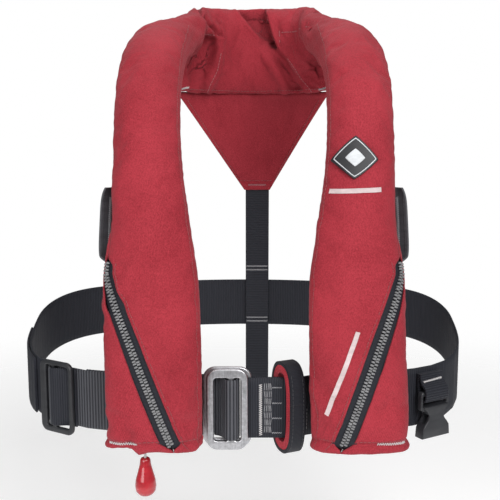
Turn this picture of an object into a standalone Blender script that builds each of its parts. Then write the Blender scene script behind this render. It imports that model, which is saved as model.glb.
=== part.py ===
"""Inflatable life jacket with a harness belt: horseshoe cover, bladder, inflation head, belt and buckles.

Units are metres, +Z is up and the front of the jacket faces -Y. The origin lies in the middle of
the neck opening, level with the nape seam. Right and left in names are the wearer's, so "right"
is at -X.
"""
import math

import bmesh
import bpy
from mathutils import Matrix, Vector

# Driving dimensions
GAP = 0.0004                      # clearance between touching pieces
WEB = 0.002                       # thickness of all webbing
BELT_WIDTH = 0.050
STRAP_WIDTH = 0.025
COVER = 0.0016                    # thickness of the cover fabric
SECTION_POWER = 2.5               # roundness of the lobe's cross-section
SPLAY = 0.005                     # how far the left lobe's foot stands out

# Half of the horseshoe, foot of the lobe to the middle of the collar:
# centre (x, y, z), half width, half thickness, direction across the width
STATIONS = (
    (-0.078, -0.140, -0.2855, 0.0365, 0.0120, (-1, 0, 0)),
    (-0.078, -0.140, -0.2760, 0.0378, 0.0182, (-1, 0, 0)),
    (-0.078, -0.140, -0.2500, 0.0380, 0.0210, (-1, 0, 0)),
    (-0.078, -0.139, -0.2000, 0.0378, 0.0210, (-1, 0, 0)),
    (-0.079, -0.135, -0.1500, 0.0365, 0.0210, (-1, 0, 0)),
    (-0.079, -0.129, -0.1080, 0.0300, 0.0210, (-1, 0, 0)),
    (-0.082, -0.118, -0.0680, 0.0270, 0.0210, (-1, 0, 0)),
    (-0.084, -0.100, -0.0250, 0.0260, 0.0210, (-1, 0, 0)),
    (-0.084, -0.070, 0.0120, 0.0262, 0.0205, (-1, 0, 0)),
    (-0.081, -0.032, 0.0335, 0.0268, 0.0195, (-0.99, 0, -0.14)),
    (-0.076, 0.010, 0.0415, 0.0315, 0.0188, (-0.86, 0.12, -0.50)),
    (-0.062, 0.047, 0.0405, 0.0395, 0.0172, (-0.32, 0.12, -0.94)),
    (-0.035, 0.072, 0.0415, 0.0410, 0.0165, (-0.10, 0.05, -0.99)),
    (0.000, 0.081, 0.0420, 0.0415, 0.0160, (0, 0, -1)),
)
T_COLLAR = 10.0                   # station where the lobe covers end and the collar begins
T_END = float(len(STATIONS) - 1)

# Cover zip: runs down each lobe's outer edge and then slants across its front
ZIP_TOP_Z = -0.126                # above this height the opening closes up
ZIP_FADE = 0.018
ZIP_HALF = 0.0078                 # half width of the zip, tapes included
ZIP_TEETH_HALF = 0.0024

# Belt: plan curve around the body, and its height at the front and at the back
BELT_X = -0.008
BELT_Y = 0.0065
BELT_HALF_X = 0.196
BELT_HALF_Y = 0.1185
BELT_FRONT_Z = -0.258
BELT_BACK_Z = -0.222

# Steel buckle
BUCKLE_HEIGHT = 0.067
BUCKLE_SLOT = 0.0520
REAR_FRAME_Y = -0.119
FRONT_FRAME_Y = -0.1254
FRAME_T = 0.0032
FRONT_LEFT_X = -0.0380
FRONT_RIGHT_X = -0.0045
REAR_LEFT_X = -0.0410
REAR_RIGHT_X = -0.0015

# Socket half of the crotch clip, hung on the left of the belt
CLIP_X = 0.1460
CLIP_OUT = 0.0085                 # how far the clip's middle plane stands off the belt
CLIP_BAR_Z = -0.2562
CLIP_TOP = -0.2530
CLIP_SHOULDER = -0.2646
CLIP_MOUTH = -0.2905

# Soft tether loop around the belt
LOOP_X = 0.0275
LOOP_Y = -0.1206
LOOP_TURN = math.radians(25)
LOOP_WIDTH = 0.0130

# Inflation head, inside the right lobe
HEAD_X = -0.078
HEAD_Y = -0.143
HEAD_LOW = -0.2665
HEAD_HIGH = -0.2370
PULL_X = -0.0855
PULL_Y = -0.1400
LEVER_PIVOT_Y = -0.1515
LEVER_PIVOT_Z = -0.2722
TOGGLE_TOP = -0.2925
TOGGLE_LENGTH = 0.0310

# Oral inflation tube, inside the left lobe
ORAL_X = 0.087
ORAL_Y = -0.1445


# ------------------------------------------------------------------ tools
def clear_scene():
    for item in list(bpy.data.objects):
        bpy.data.objects.remove(item, do_unlink=True)


def material(name, colour, roughness, metallic=0.0):
    found = bpy.data.materials.get(name)
    if found:
        return found
    made = bpy.data.materials.new(name)
    made.use_nodes = True
    shader = made.node_tree.nodes["Principled BSDF"]
    shader.inputs["Base Color"].default_value = (*colour, 1.0)
    shader.inputs["Roughness"].default_value = roughness
    shader.inputs["Metallic"].default_value = metallic
    return made


def red_fabric():
    return material("red_fabric", (0.32, 0.03, 0.05), 0.75)


def black_webbing():
    return material("black_webbing", (0.012, 0.012, 0.018), 0.8)


def black_plastic():
    return material("black_plastic", (0.02, 0.02, 0.024), 0.4)


def satin_steel():
    return material("satin_steel", (0.55, 0.56, 0.58), 0.35, 1.0)


def inflator_plastic():
    return material("inflator_plastic", (0.05, 0.06, 0.07), 0.45)


def white_plastic():
    return material("white_plastic", (0.8, 0.8, 0.78), 0.4)


def add_object(name, mesh, surface, smooth=False):
    mesh.materials.append(surface)
    if smooth:
        mesh.shade_smooth()
        mesh.set_sharp_from_angle(angle=math.radians(40))
    made = bpy.data.objects.new(name, mesh)
    bpy.context.collection.objects.link(made)
    return made


def closed_mesh(name, points, faces):
    """A mesh from points and faces, its faces turned outward."""
    mesh = bpy.data.meshes.new(name)
    mesh.from_pydata([tuple(p) for p in points], [], faces)
    shape = bmesh.new()
    shape.from_mesh(mesh)
    bmesh.ops.remove_doubles(shape, verts=shape.verts, dist=1e-7)
    bmesh.ops.recalc_face_normals(shape, faces=shape.faces)
    shape.to_mesh(mesh)
    shape.free()
    return mesh


def set_origin(item, point):
    """Move an object's origin to a point without moving its shape."""
    spot = Vector(point)
    item.data.transform(Matrix.Translation(-spot))
    item.location = spot


def slab(name, upper, lower, surface, smooth=True):
    """A closed sheet between two equal grids of points."""
    rows, columns = len(upper), len(upper[0])
    points = [p for row in upper for p in row] + [p for row in lower for p in row]
    half = rows * columns
    faces = []
    for r in range(rows - 1):
        for c in range(columns - 1):
            a = r * columns + c
            quad = (a, a + 1, a + columns + 1, a + columns)
            faces.append(quad)
            faces.append(tuple(i + half for i in reversed(quad)))
    rim = [c for c in range(columns)]
    rim += [r * columns + columns - 1 for r in range(1, rows)]
    rim += [(rows - 1) * columns + c for c in range(columns - 2, -1, -1)]
    rim += [r * columns for r in range(rows - 2, 0, -1)]
    for i, a in enumerate(rim):
        b = rim[(i + 1) % len(rim)]
        faces.append((b, a, a + half, b + half))
    return add_object(name, closed_mesh(name, points, faces), surface, smooth)


def loft(name, rings, surface, closed=False, smooth=True):
    """A solid through equal rings of points, capped at its ends or joined into a ring."""
    count = len(rings[0])
    points = [p for ring in rings for p in ring]
    faces = []
    last = len(rings) if closed else len(rings) - 1
    for r in range(last):
        low, high = r * count, ((r + 1) % len(rings)) * count
        for c in range(count):
            n = (c + 1) % count
            faces.append((low + c, low + n, high + n, high + c))
    if not closed:
        faces.append(tuple(reversed(range(count))))
        faces.append(tuple(range((len(rings) - 1) * count, len(rings) * count)))
    return add_object(name, closed_mesh(name, points, faces), surface, smooth)


def ribbon(name, path, across, width, surface, thickness=WEB, closed=False, smooth=True):
    """Flat webbing: a rectangle swept along path, its width along the direction across."""
    points = [Vector(p) for p in path]
    wide = Vector(across).normalized()
    rings = []
    for i, p in enumerate(points):
        if closed:
            along = points[(i + 1) % len(points)] - points[i - 1]
        else:
            along = points[min(i + 1, len(points) - 1)] - points[max(i - 1, 0)]
        normal = wide.cross(along).normalized() * (thickness / 2)
        side = wide * (width / 2)
        rings.append([p - side - normal, p + side - normal, p + side + normal, p - side + normal])
    return loft(name, rings, surface, closed, smooth)


def turned(name, profile, base, axis, surface, ring=False, segments=20):
    """A round piece: profile points are (radius, height along axis); ring joins last to first."""
    turn = Vector((0, 0, 1)).rotation_difference(Vector(axis)).to_matrix()
    points, rows = [], []
    for radius, height in profile:
        if radius == 0:
            rows.append([len(points)])
            points.append(Vector(base) + turn @ Vector((0, 0, height)))
            continue
        row = []
        for i in range(segments):
            angle = 2 * math.pi * i / segments
            row.append(len(points))
            spot = Vector((radius * math.cos(angle), radius * math.sin(angle), height))
            points.append(Vector(base) + turn @ spot)
        rows.append(row)
    faces = []
    pairs = list(zip(rows, rows[1:]))
    if ring:
        pairs.append((rows[-1], rows[0]))
    for low, high in pairs:
        if len(low) == 1 and len(high) == 1:
            continue
        for i in range(segments):
            n = (i + 1) % segments
            if len(low) == 1:
                faces.append((low[0], high[n], high[i]))
            elif len(high) == 1:
                faces.append((low[i], low[n], high[0]))
            else:
                faces.append((low[i], low[n], high[n], high[i]))
    return add_object(name, closed_mesh(name, points, faces), surface, True)


def block(name, size, centre, surface, bevel=0.001, turn=None):
    """A box with rounded edges."""
    shape = bmesh.new()
    bmesh.ops.create_cube(shape, size=1.0)
    bmesh.ops.scale(shape, vec=Vector(size), verts=shape.verts)
    bmesh.ops.bevel(shape, geom=list(shape.edges), offset=bevel, segments=2, affect="EDGES", profile=0.5)
    place = Matrix.Translation(Vector(centre))
    if turn is not None:
        place = place @ turn.to_4x4()
    bmesh.ops.transform(shape, matrix=place, verts=shape.verts)
    mesh = bpy.data.meshes.new(name)
    shape.to_mesh(mesh)
    shape.free()
    return add_object(name, mesh, surface)


def rounded_rectangle(left, right, low, high, radius, steps=4):
    """Corner-rounded outline, anticlockwise."""
    corners = ((right - radius, high - radius, 0), (left + radius, high - radius, 1),
               (left + radius, low + radius, 2), (right - radius, low + radius, 3))
    outline = []
    for x, y, quarter in corners:
        for i in range(steps + 1):
            angle = math.pi / 2 * (quarter + i / steps)
            outline.append((x + radius * math.cos(angle), y + radius * math.sin(angle)))
    return outline


def plate(name, outline, holes, thickness, place, surface, edge=0.0004):
    """A flat plate from an outline with holes, extruded both ways from its own XY plane."""
    curve = bpy.data.curves.new(name, "CURVE")
    curve.dimensions = "2D"
    curve.fill_mode = "BOTH"
    curve.extrude = thickness / 2 - edge
    curve.bevel_depth = edge
    curve.bevel_resolution = 0
    curve.offset = -edge
    for ring in [outline] + list(holes):
        spline = curve.splines.new("POLY")
        spline.points.add(len(ring) - 1)
        for spot, (x, y) in zip(spline.points, ring):
            spot.co = (x, y, 0, 1)
        spline.use_cyclic_u = True
    guide = bpy.data.objects.new(name + "_outline", curve)
    bpy.context.collection.objects.link(guide)
    bpy.context.view_layer.update()
    seen = bpy.context.evaluated_depsgraph_get()
    mesh = bpy.data.meshes.new_from_object(guide.evaluated_get(seen))
    bpy.data.objects.remove(guide, do_unlink=True)
    mesh.transform(place)
    shape = bmesh.new()
    shape.from_mesh(mesh)
    bmesh.ops.remove_doubles(shape, verts=shape.verts, dist=1e-6)
    bmesh.ops.recalc_face_normals(shape, faces=shape.faces)
    shape.to_mesh(mesh)
    shape.free()
    mesh.materials.clear()
    return add_object(name, mesh, surface)


def frame_matrix(origin, x_axis, y_axis):
    """Placement whose local X and Y lie along two world directions."""
    x = Vector(x_axis).normalized()
    z = x.cross(Vector(y_axis)).normalized()
    y = z.cross(x)
    turn = Matrix((x, y, z)).transposed()
    return Matrix.Translation(Vector(origin)) @ turn.to_4x4()


def boolean(item, cutter, operation):
    """Cut or join with the exact solver, apply it and drop the second object."""
    step = item.modifiers.new("step", "BOOLEAN")
    step.object = cutter
    step.operation = operation
    step.solver = "EXACT"
    bpy.context.view_layer.update()
    seen = bpy.context.evaluated_depsgraph_get()
    mesh = bpy.data.meshes.new_from_object(item.evaluated_get(seen))
    item.modifiers.remove(step)
    item.data = mesh
    bpy.data.objects.remove(cutter, do_unlink=True)


def tube(name, path, radius, surface, resolution=2):
    """A round cord along a POLY curve with closed ends."""
    curve = bpy.data.curves.new(name, "CURVE")
    curve.dimensions = "3D"
    curve.bevel_depth = radius
    curve.bevel_resolution = resolution
    curve.use_fill_caps = True
    spline = curve.splines.new("POLY")
    spline.points.add(len(path) - 1)
    for spot, p in zip(spline.points, path):
        spot.co = (*p, 1)
    curve.materials.append(surface)
    made = bpy.data.objects.new(name, curve)
    bpy.context.collection.objects.link(made)
    return made


# ------------------------------------------------------------------ the lobes' swept section
def blend_stations(t):
    """Station values at a fractional station number, on a smooth curve through all of them."""
    rows = [(*s[:5], *s[5]) for s in STATIONS]
    low = min(int(t), len(rows) - 2)
    u = t - low
    # beyond the middle of the collar the other half follows, mirrored
    mirrored = list(rows[-2])
    mirrored[0] = -mirrored[0]
    mirrored[5] = -mirrored[5]
    ends = rows + [tuple(mirrored)]
    before = rows[max(low - 1, 0)]
    values = []
    for a, b, c, d in zip(before, ends[low], ends[low + 1], ends[min(low + 2, len(ends) - 1)]):
        values.append(0.5 * (2 * b + (c - a) * u + (2 * a - 5 * b + 4 * c - d) * u ** 2
                             + (3 * b - a - 3 * c + d) * u ** 3))
    return values


def lobe_frame(t, side):
    """Centre, width direction, outward direction, half width and half thickness at station t.

    side is -1 on the wearer's right and +1 on the left.
    """
    here = blend_stations(t)
    step = 0.05
    ahead = blend_stations(min(t + step, T_END))
    behind = blend_stations(max(t - step, 0))
    along = (Vector(ahead[:3]) - Vector(behind[:3])).normalized()
    wide = Vector(here[5:8])
    wide = (wide - along * wide.dot(along)).normalized()
    outward = along.cross(wide)
    centre = Vector(here[:3])
    if side > 0:
        centre.x = -centre.x + SPLAY * max(0.0, min(1.0, (-0.15 - centre.z) / 0.13))
        wide.x = -wide.x
        outward.x = -outward.x
    return centre, wide, outward, here[3], here[4]


def section_point(place, angle, inset=0.0):
    """Point on the cross-section; angle 0 is the outer edge and 90 degrees the front."""
    centre, wide, outward, half_width, half_thick = place
    c, s = math.cos(angle), math.sin(angle)
    across = math.copysign(abs(c) ** (2 / SECTION_POWER), c) * (half_width - inset)
    out = math.copysign(abs(s) ** (2 / SECTION_POWER), s) * (half_thick - inset)
    return centre + wide * across + outward * out


def walk(place, angle, distance):
    """Angle reached after going a distance around the section, forward if positive."""
    steps = 16
    piece = distance / steps
    here = section_point(place, angle)
    for _ in range(steps):
        turn = 0.01 if piece > 0 else -0.01
        speed = (section_point(place, angle + turn) - here).length / 0.01
        angle += piece / max(speed, 0.004)
        here = section_point(place, angle)
    return angle


def zip_angle(place):
    """Angle of the zip's teeth: at the outer edge above ZIP_TOP_Z, slanting inward below it."""
    height = place[0].z
    share = -0.43 + 1.38 * (height + 0.280) / 0.137
    share = max(-0.45, min(0.92, share))
    c = math.copysign(abs(share) ** (SECTION_POWER / 2), share)
    rise = max(0.0, min(1.0, (height - ZIP_TOP_Z) / 0.060))
    return math.acos(c) * (1 - rise)


def zip_gap(place):
    """Half the opening that the zip closes at this height."""
    fade = max(0.0, min(1.0, (ZIP_TOP_Z + ZIP_FADE - place[0].z) / ZIP_FADE))
    return GAP + (ZIP_HALF - GAP) * fade


def swept_sheet(name, side, t_low, t_high, start, end, rows, columns, surface,
                inset=0.0, thickness=COVER):
    """A sheet on the swept section between two angles that may change along it."""
    upper, lower = [], []
    for r in range(rows + 1):
        place = lobe_frame(t_low + (t_high - t_low) * r / rows, side)
        first, last = start(place), end(place)
        angles = [first + (last - first) * c / columns for c in range(columns + 1)]
        upper.append([section_point(place, a, inset) for a in angles])
        lower.append([section_point(place, a, inset + thickness) for a in angles])
    return slab(name, upper, lower, surface)


def make_lobe_covers():
    """Front and back cover panels of each lobe, up and over the shoulder."""
    for side, word in ((-1, "right"), (1, "left")):
        swept_sheet("cover_front_" + word, side, 0, T_COLLAR,
                    lambda p: walk(p, zip_angle(p), zip_gap(p)),
                    lambda p: math.pi - 0.02, 22, 8, red_fabric())
        swept_sheet("cover_back_" + word, side, 0, T_COLLAR,
                    lambda p: walk(p, zip_angle(p), -zip_gap(p)),
                    lambda p: -math.pi + 0.02, 22, 9, red_fabric())


def make_zips():
    """Two tapes and one row of moulded teeth at the slanting part of each zip."""
    t_top = 4.3
    margin = 0.0012
    black = material("zip_tape", (0.015, 0.015, 0.018), 0.8)
    grey = material("zip_teeth", (0.28, 0.29, 0.30), 0.45)
    for side, word in ((-1, "right"), (1, "left")):
        swept_sheet("zip_tape_front_" + word, side, 0.05, t_top,
                    lambda p: walk(p, zip_angle(p), ZIP_TEETH_HALF + GAP),
                    lambda p: walk(p, zip_angle(p), zip_gap(p) - margin), 16, 1, black, 0.0002, 0.0012)
        swept_sheet("zip_tape_back_" + word, side, 0.05, t_top,
                    lambda p: walk(p, zip_angle(p), -ZIP_TEETH_HALF - GAP),
                    lambda p: walk(p, zip_angle(p), margin - zip_gap(p)), 16, 1, black, 0.0002, 0.0012)
        swept_sheet("zip_teeth_" + word, side, 0.05, t_top,
                    lambda p: walk(p, zip_angle(p), -ZIP_TEETH_HALF),
                    lambda p: walk(p, zip_angle(p), ZIP_TEETH_HALF), 16, 1, grey, -0.0010, 0.0022)


def collar_sheet(name, start, end, columns, surface, inset=0.0, thickness=COVER):
    """A sheet that runs around the whole collar, from the right shoulder to the left."""
    first = T_COLLAR + 0.03
    steps = 10
    upper, lower = [], []
    for side in (-1, 1):
        for r in range(steps + 1):
            share = r / steps if side < 0 else 1 - r / steps
            if side > 0 and r == 0:
                continue
            place = lobe_frame(first + (T_END - first) * share, side)
            angles = [start + (end - start) * c / columns for c in range(columns + 1)]
            upper.append([section_point(place, a, inset) for a in angles])
            lower.append([section_point(place, a, inset + thickness) for a in angles])
    return slab(name, upper, lower, surface)


def make_collar():
    collar_sheet("collar_outer", 0.03, math.pi - 0.03, 8, red_fabric())
    collar_sheet("collar_inner", -0.03, -math.pi + 0.03, 8, red_fabric())


def make_bladder():
    """The folded bladder: one flat tube through both lobes and the collar, behind the head."""
    foot, steps = 0.45, 20
    places = [lobe_frame(foot + (T_END - foot) * r / steps, -1) for r in range(steps + 1)]
    places += [lobe_frame(foot + (T_END - foot) * r / steps, 1) for r in range(steps - 1, -1, -1)]
    rings = []
    for centre, wide, outward, half_width, half_thick in places:
        thin = 0.0034
        margin = 0.0012 if centre.z < 0 else 0.0028
        back = centre - outward * (half_thick - COVER - thin - margin)
        ring = []
        for c in range(10):
            angle = 2 * math.pi * c / 10
            reach = (half_width * 0.62) * math.cos(angle)
            ring.append(back + wide * reach + outward * thin * math.sin(angle))
        rings.append(ring)
    yellow = material("bladder_fabric", (0.85, 0.62, 0.03), 0.6)
    loft("bladder", rings, yellow)


def make_reflective_patches():
    """Retroreflective patches bonded to the bladder, one in each lobe."""
    silver = material("reflective_film", (0.75, 0.76, 0.78), 0.25, 0.3)
    for side, word in ((-1, "right"), (1, "left")):
        upper, lower = [], []
        for r in range(5):
            centre, wide, outward, half_width, half_thick = lobe_frame(5.2 + 0.22 * r, side)
            face = centre - outward * (half_thick - COVER - 0.0034 * 2 - 0.0012 - 0.0004)
            spots = [face + wide * (half_width * 0.35 * k) for k in (-1, 0, 1)]
            lower.append(spots)
            upper.append([p + outward * 0.0004 for p in spots])
        slab("reflective_patch_" + word, upper, lower, silver)


# ------------------------------------------------------------------ yoke, strap and side tabs
def make_yoke():
    """Triangular back yoke that hangs from the nape seam."""
    upper, lower = [], []
    rows, columns = 8, 8
    for r in range(rows + 1):
        v = r / rows
        half = 0.0735 + (0.0135 - 0.0735) * v
        row = []
        for c in range(columns + 1):
            x = half * (2 * c / columns - 1)
            top_y = 0.0815 - 0.024 * (x / 0.0735) ** 2
            y = top_y + (0.1135 - top_y) * (v ** 0.8)
            row.append(Vector((x + 0.0045 * v, y, -0.0010 - 0.0967 * v)))
        upper.append([p + Vector((0, 0.0011, 0)) for p in row])
        lower.append([p - Vector((0, 0.0011, 0)) for p in row])
    slab("back_yoke", upper, lower, red_fabric())


def make_back_strap():
    """Webbing from the yoke down to the crotch strap, and the keeper that holds the belt to it."""
    x = 0.0048
    front = [(x, 0.1122, -0.0800), (x, 0.1146, -0.0900), (x, 0.1165, -0.0985), (x, 0.1182, -0.1150),
             (x, 0.1205, -0.1450), (x, 0.1214, -0.1750), (x, 0.1216, -0.2050), (x, 0.1216, -0.2500),
             (x, 0.1225, -0.2900), (x, 0.1235, -0.3220)]
    ribbon("back_strap", front, (1, 0, 0), STRAP_WIDTH, black_webbing())
    keeper = [(x, 0.1248, -0.1860), (x, 0.1284, -0.1935), (x, 0.1294, -0.2100), (x, 0.1294, -0.2340),
              (x, 0.1284, -0.2505), (x, 0.1248, -0.2580)]
    ribbon("belt_keeper_back", keeper, (1, 0, 0), STRAP_WIDTH, black_webbing())


def make_side_tabs():
    """Dark rubbery tabs that join the back of each lobe to its outer edge."""
    rubber = material("tab_rubber", (0.05, 0.055, 0.06), 0.6)
    for side, word in ((-1, "right"), (1, "left")):
        upper, lower = [], []
        for r in range(9):
            v = r / 8
            centre = lobe_frame(5.66 - 1.38 * v, -1)[0]
            trim = 0.0030 * (abs(2 * v - 1) ** 6)
            lean = 0.0020 * v
            path = [(0.0920, 0.0230), (0.1020, 0.0225), (0.1085, 0.0204), (0.1138, 0.0166),
                    (0.1188 + lean - trim, 0.0115)]
            row = [Vector((side * px, centre.y + py, centre.z)) for px, py in path]
            upper.append([p + Vector((side * 0.0008, 0.0009, 0)) for p in row])
            lower.append([p - Vector((side * 0.0008, 0.0009, 0)) for p in row])
        slab("side_tab_" + word, upper, lower, rubber)


# ------------------------------------------------------------------ belt
def belt_height(y):
    """Height of the belt's centre line: low at the front, higher at the back."""
    share = max(0.0, min(1.0, (y + 0.095) / 0.175))
    share = share * share * (3 - 2 * share)
    return BELT_FRONT_Z + (BELT_BACK_Z - BELT_FRONT_Z) * share


def belt_at(angle, offset=0.0):
    """Point of the belt at a polar angle (degrees, 90 at the back), moved outward by offset."""
    a = math.radians(angle)

    def plan(value):
        c, s = math.cos(value), math.sin(value)
        power = 2.0 if s > 0 else 3.0
        reach = (abs(c / BELT_HALF_X) ** power + abs(s / BELT_HALF_Y) ** power) ** (-1 / power)
        return Vector((BELT_X + reach * c, BELT_Y + reach * s, 0))

    here = plan(a)
    along = plan(a + 0.01) - plan(a - 0.01)
    outward = Vector((along.y, -along.x, 0)).normalized()
    here += outward * offset
    here.z = belt_height(here.y)
    return here


def front_angle(x):
    """Polar angle of the belt's front where it passes a given x."""
    u = abs((x - BELT_X) / BELT_HALF_X)
    y = -BELT_HALF_Y * (1 - u ** 3) ** (1 / 3)
    return math.degrees(math.atan2(y, x - BELT_X)) % 360


def adjuster_frame():
    """Centre, belt direction and outward direction of the side adjuster."""
    angle = front_angle(-0.163)
    along = (belt_at(angle - 4) - belt_at(angle + 4)) * -1
    along.z = 0
    along.normalize()
    outward = Vector((along.y, -along.x, 0))
    if outward.y > 0:
        outward = -outward
    return belt_at(angle, 0.0042), along, outward


def make_belt_back():
    """Main run of the belt: from the rear frame, around the back, through the side adjuster."""
    wrap_y = 0.0029
    front_y, back_y = REAR_FRAME_Y - wrap_y, REAR_FRAME_Y + wrap_y
    edge = REAR_RIGHT_X - 0.0060
    high = BELT_FRONT_Z
    path = [(0.0240, -0.1194, high), (0.0060, -0.1192, high), (0.0015, -0.1178, high),
            (-0.0030, back_y, high), (edge + 0.0010, back_y, high),
            (edge - 0.0008, back_y - 0.0006, high), (edge - 0.0016, REAR_FRAME_Y + 0.0012, high),
            (edge - 0.0016, REAR_FRAME_Y - 0.0012, high), (edge - 0.0008, front_y + 0.0006, high),
            (edge + 0.0010, front_y, high),
            (-0.0030, front_y, high), (0.0120, front_y, high), (0.0260, front_y, high),
            (0.0340, -0.1204, high), (0.0420, -0.1160, high), (0.0500, -0.1124, high)]
    for x in (0.062, 0.080, 0.098, 0.116, 0.134, 0.150, 0.164, 0.175):
        path.append(tuple(belt_at(front_angle(x))))
    start, finish = front_angle(0.182) - 360, front_angle(-0.185)
    count = 30
    for i in range(count + 1):
        path.append(tuple(belt_at(start + (finish - start) * i / count)))
    centre, along, outward = adjuster_frame()
    crest = ((0.0190, -0.0034), (0.0120, -0.0034), (0.0078, -0.0018), (0.0040, 0.0014),
             (0.0010, 0.0032), (-0.0025, 0.0036), (-0.0055, 0.0030), (-0.0074, 0.0006),
             (-0.0084, -0.0022), (-0.0115, -0.0036), (-0.0190, -0.0040))
    for u, n in crest:
        spot = centre + along * u + outward * n
        path.append((spot.x, spot.y, belt_height(spot.y)))
    for x in (-0.138, -0.128, -0.1195):
        path.append(tuple(belt_at(front_angle(x), 0.0013)))
    ribbon("belt_back", path, (0, 0, 1), BELT_WIDTH, black_webbing())


def make_belt_tail():
    """Free end of the belt, lying on the outside of the main run behind the adjuster."""
    start, finish = front_angle(-0.1870), 186.0
    path = [tuple(belt_at(start + (finish - start) * i / 8, 0.0026)) for i in range(9)]
    ribbon("belt_tail", path, (0, 0, 1), BELT_WIDTH, black_webbing())


def make_belt_front():
    """Two layers of belt that run behind the right lobe, from the adjuster to the steel buckle."""
    high = BELT_FRONT_Z
    outer = [tuple(belt_at(front_angle(x), 0.0013)) for x in
             (-0.1175, -0.1080, -0.0940, -0.0800, -0.0650)]
    outer += [(-0.0500, -0.1136, high), (-0.0410, -0.1154, high), (-0.0325, -0.1156, high)]
    ribbon("belt_front_outer", outer, (0, 0, 1), BELT_WIDTH, black_webbing())
    inner = [tuple(belt_at(front_angle(x), -0.0013)) for x in
             (-0.1390, -0.1300, -0.1200, -0.1080, -0.0940, -0.0800, -0.0650)]
    inner += [(-0.0500, -0.1110, high), (-0.0410, -0.1112, high), (-0.0325, -0.1114, high)]
    ribbon("belt_front_inner", inner, (0, 0, 1), BELT_WIDTH, black_webbing())


def make_belt_end_loop():
    """The belt's bight around the middle bar of the front buckle frame."""
    high = BELT_FRONT_Z
    path = [(-0.0318, -0.1157, high), (-0.0280, -0.1176, high), (-0.0248, -0.1212, high),
            (-0.0228, -0.1256, high), (-0.0212, -0.1284, high), (-0.0182, -0.1293, high),
            (-0.0154, -0.1284, high), (-0.0140, -0.1256, high), (-0.0130, -0.1200, high),
            (-0.0132, -0.1150, high), (-0.0160, -0.1126, high), (-0.0220, -0.1117, high),
            (-0.0318, -0.1115, high)]
    loop = ribbon("belt_end_loop", path, (0, 0, 1), BELT_WIDTH, black_webbing())
    set_origin(loop, (FRONT_LEFT_X, FRONT_FRAME_Y + FRAME_T / 2, BELT_FRONT_Z))


def make_belt_channels():
    """Fabric channels on the back of each lobe that the belt runs through."""
    for side, word in ((-1, "right"), (1, "left")):
        upper, lower = [], []
        profile = [(-0.2240, -0.1176), (-0.2275, -0.1130), (-0.2300, -0.1078), (-0.2560, -0.1068),
                   (-0.2850, -0.1078), (-0.2868, -0.1130), (-0.2870, -0.1176)]
        for x in (0.050, 0.065, 0.080, 0.095, 0.110):
            curve = belt_at(front_angle(x)).y + 0.1105
            spots = [Vector((side * x, y + (curve if z < -0.2290 and y > -0.1100 else 0.0), z))
                     for z, y in profile]
            upper.append(spots)
            middle = Vector((side * x, -0.1180, -0.2560))
            lower.append([p + (middle - p).normalized() * 0.0014 for p in spots])
        slab("belt_channel_" + word, upper, lower, red_fabric())


# ------------------------------------------------------------------ buckles
def make_buckle():
    """Two-piece steel buckle: the rear frame, and the three-bar front frame that passes through it."""
    place = frame_matrix((0, REAR_FRAME_Y, BELT_FRONT_Z), (1, 0, 0), (0, 0, 1))
    half, slot = BUCKLE_HEIGHT / 2, BUCKLE_SLOT / 2
    outline = rounded_rectangle(REAR_LEFT_X, REAR_RIGHT_X, -half, half, 0.0100, 5)
    hole = rounded_rectangle(REAR_LEFT_X + 0.0060, REAR_RIGHT_X - 0.0060, -slot, slot, 0.0016, 3)
    plate("buckle_rear_frame", outline, [hole], FRAME_T - 0.0002, place, satin_steel(), 0.0006)
    place = frame_matrix((0, FRONT_FRAME_Y, BELT_FRONT_Z), (1, 0, 0), (0, 0, 1))
    outline = rounded_rectangle(FRONT_LEFT_X, FRONT_RIGHT_X, -half, half, 0.0090, 5)
    first = rounded_rectangle(FRONT_LEFT_X + 0.0060, -0.0200, -slot, slot, 0.0020, 3)
    second = rounded_rectangle(-0.0164, FRONT_RIGHT_X - 0.0058, -slot, slot, 0.0020, 3)
    front = plate("buckle_front_frame", outline, [first, second], FRAME_T, place, satin_steel(), 0.0006)
    set_origin(front, (FRONT_LEFT_X, FRONT_FRAME_Y + FRAME_T / 2, BELT_FRONT_Z))


def make_side_adjuster():
    """Three-bar plastic slide on the right side of the belt."""
    centre, along, outward = adjuster_frame()
    centre.z = belt_height(centre.y) - 0.0010
    place = frame_matrix(centre, along, (0, 0, 1))
    outline = rounded_rectangle(-0.0180, 0.0180, -0.0312, 0.0312, 0.0065, 4)
    first = rounded_rectangle(-0.0110, -0.0047, -0.0258, 0.0272, 0.0010, 2)
    second = rounded_rectangle(-0.0014, 0.0138, -0.0258, 0.0272, 0.0020, 2)
    plate("side_adjuster", outline, [first, second], 0.0036, place, black_plastic(), 0.0006)


def clip_frame():
    """Belt point, belt direction and outward direction at the crotch clip."""
    angle = front_angle(CLIP_X)
    along = belt_at(angle + 3) - belt_at(angle - 3)
    along.z = 0
    along.normalize()
    outward = Vector((along.y, -along.x, 0))
    return belt_at(angle), along, outward


def clip_point(across, out, height):
    """World point from the clip's own directions: along the belt, out from it, and world height."""
    spot, along, outward = clip_frame()
    point = spot + along * across + outward * out
    point.z = height
    return point


def make_clip_tab():
    """Webbing tab sewn to the belt that carries the clip's bar."""
    _, along, _ = clip_frame()
    profile = ((0.0024, -0.2372), (0.0024, -0.2450), (0.0030, -0.2505), (0.0042, -0.2560),
               (0.0052, -0.2588), (0.0085, -0.2602), (0.0118, -0.2588), (0.0126, -0.2560),
               (0.0126, -0.2515), (0.0112, -0.2485), (0.0074, -0.2455), (0.0052, -0.2425),
               (0.0048, -0.2372))
    path = [clip_point(0, out, height) for out, height in profile]
    ribbon("clip_tab", path, along, STRAP_WIDTH, black_webbing())


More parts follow.
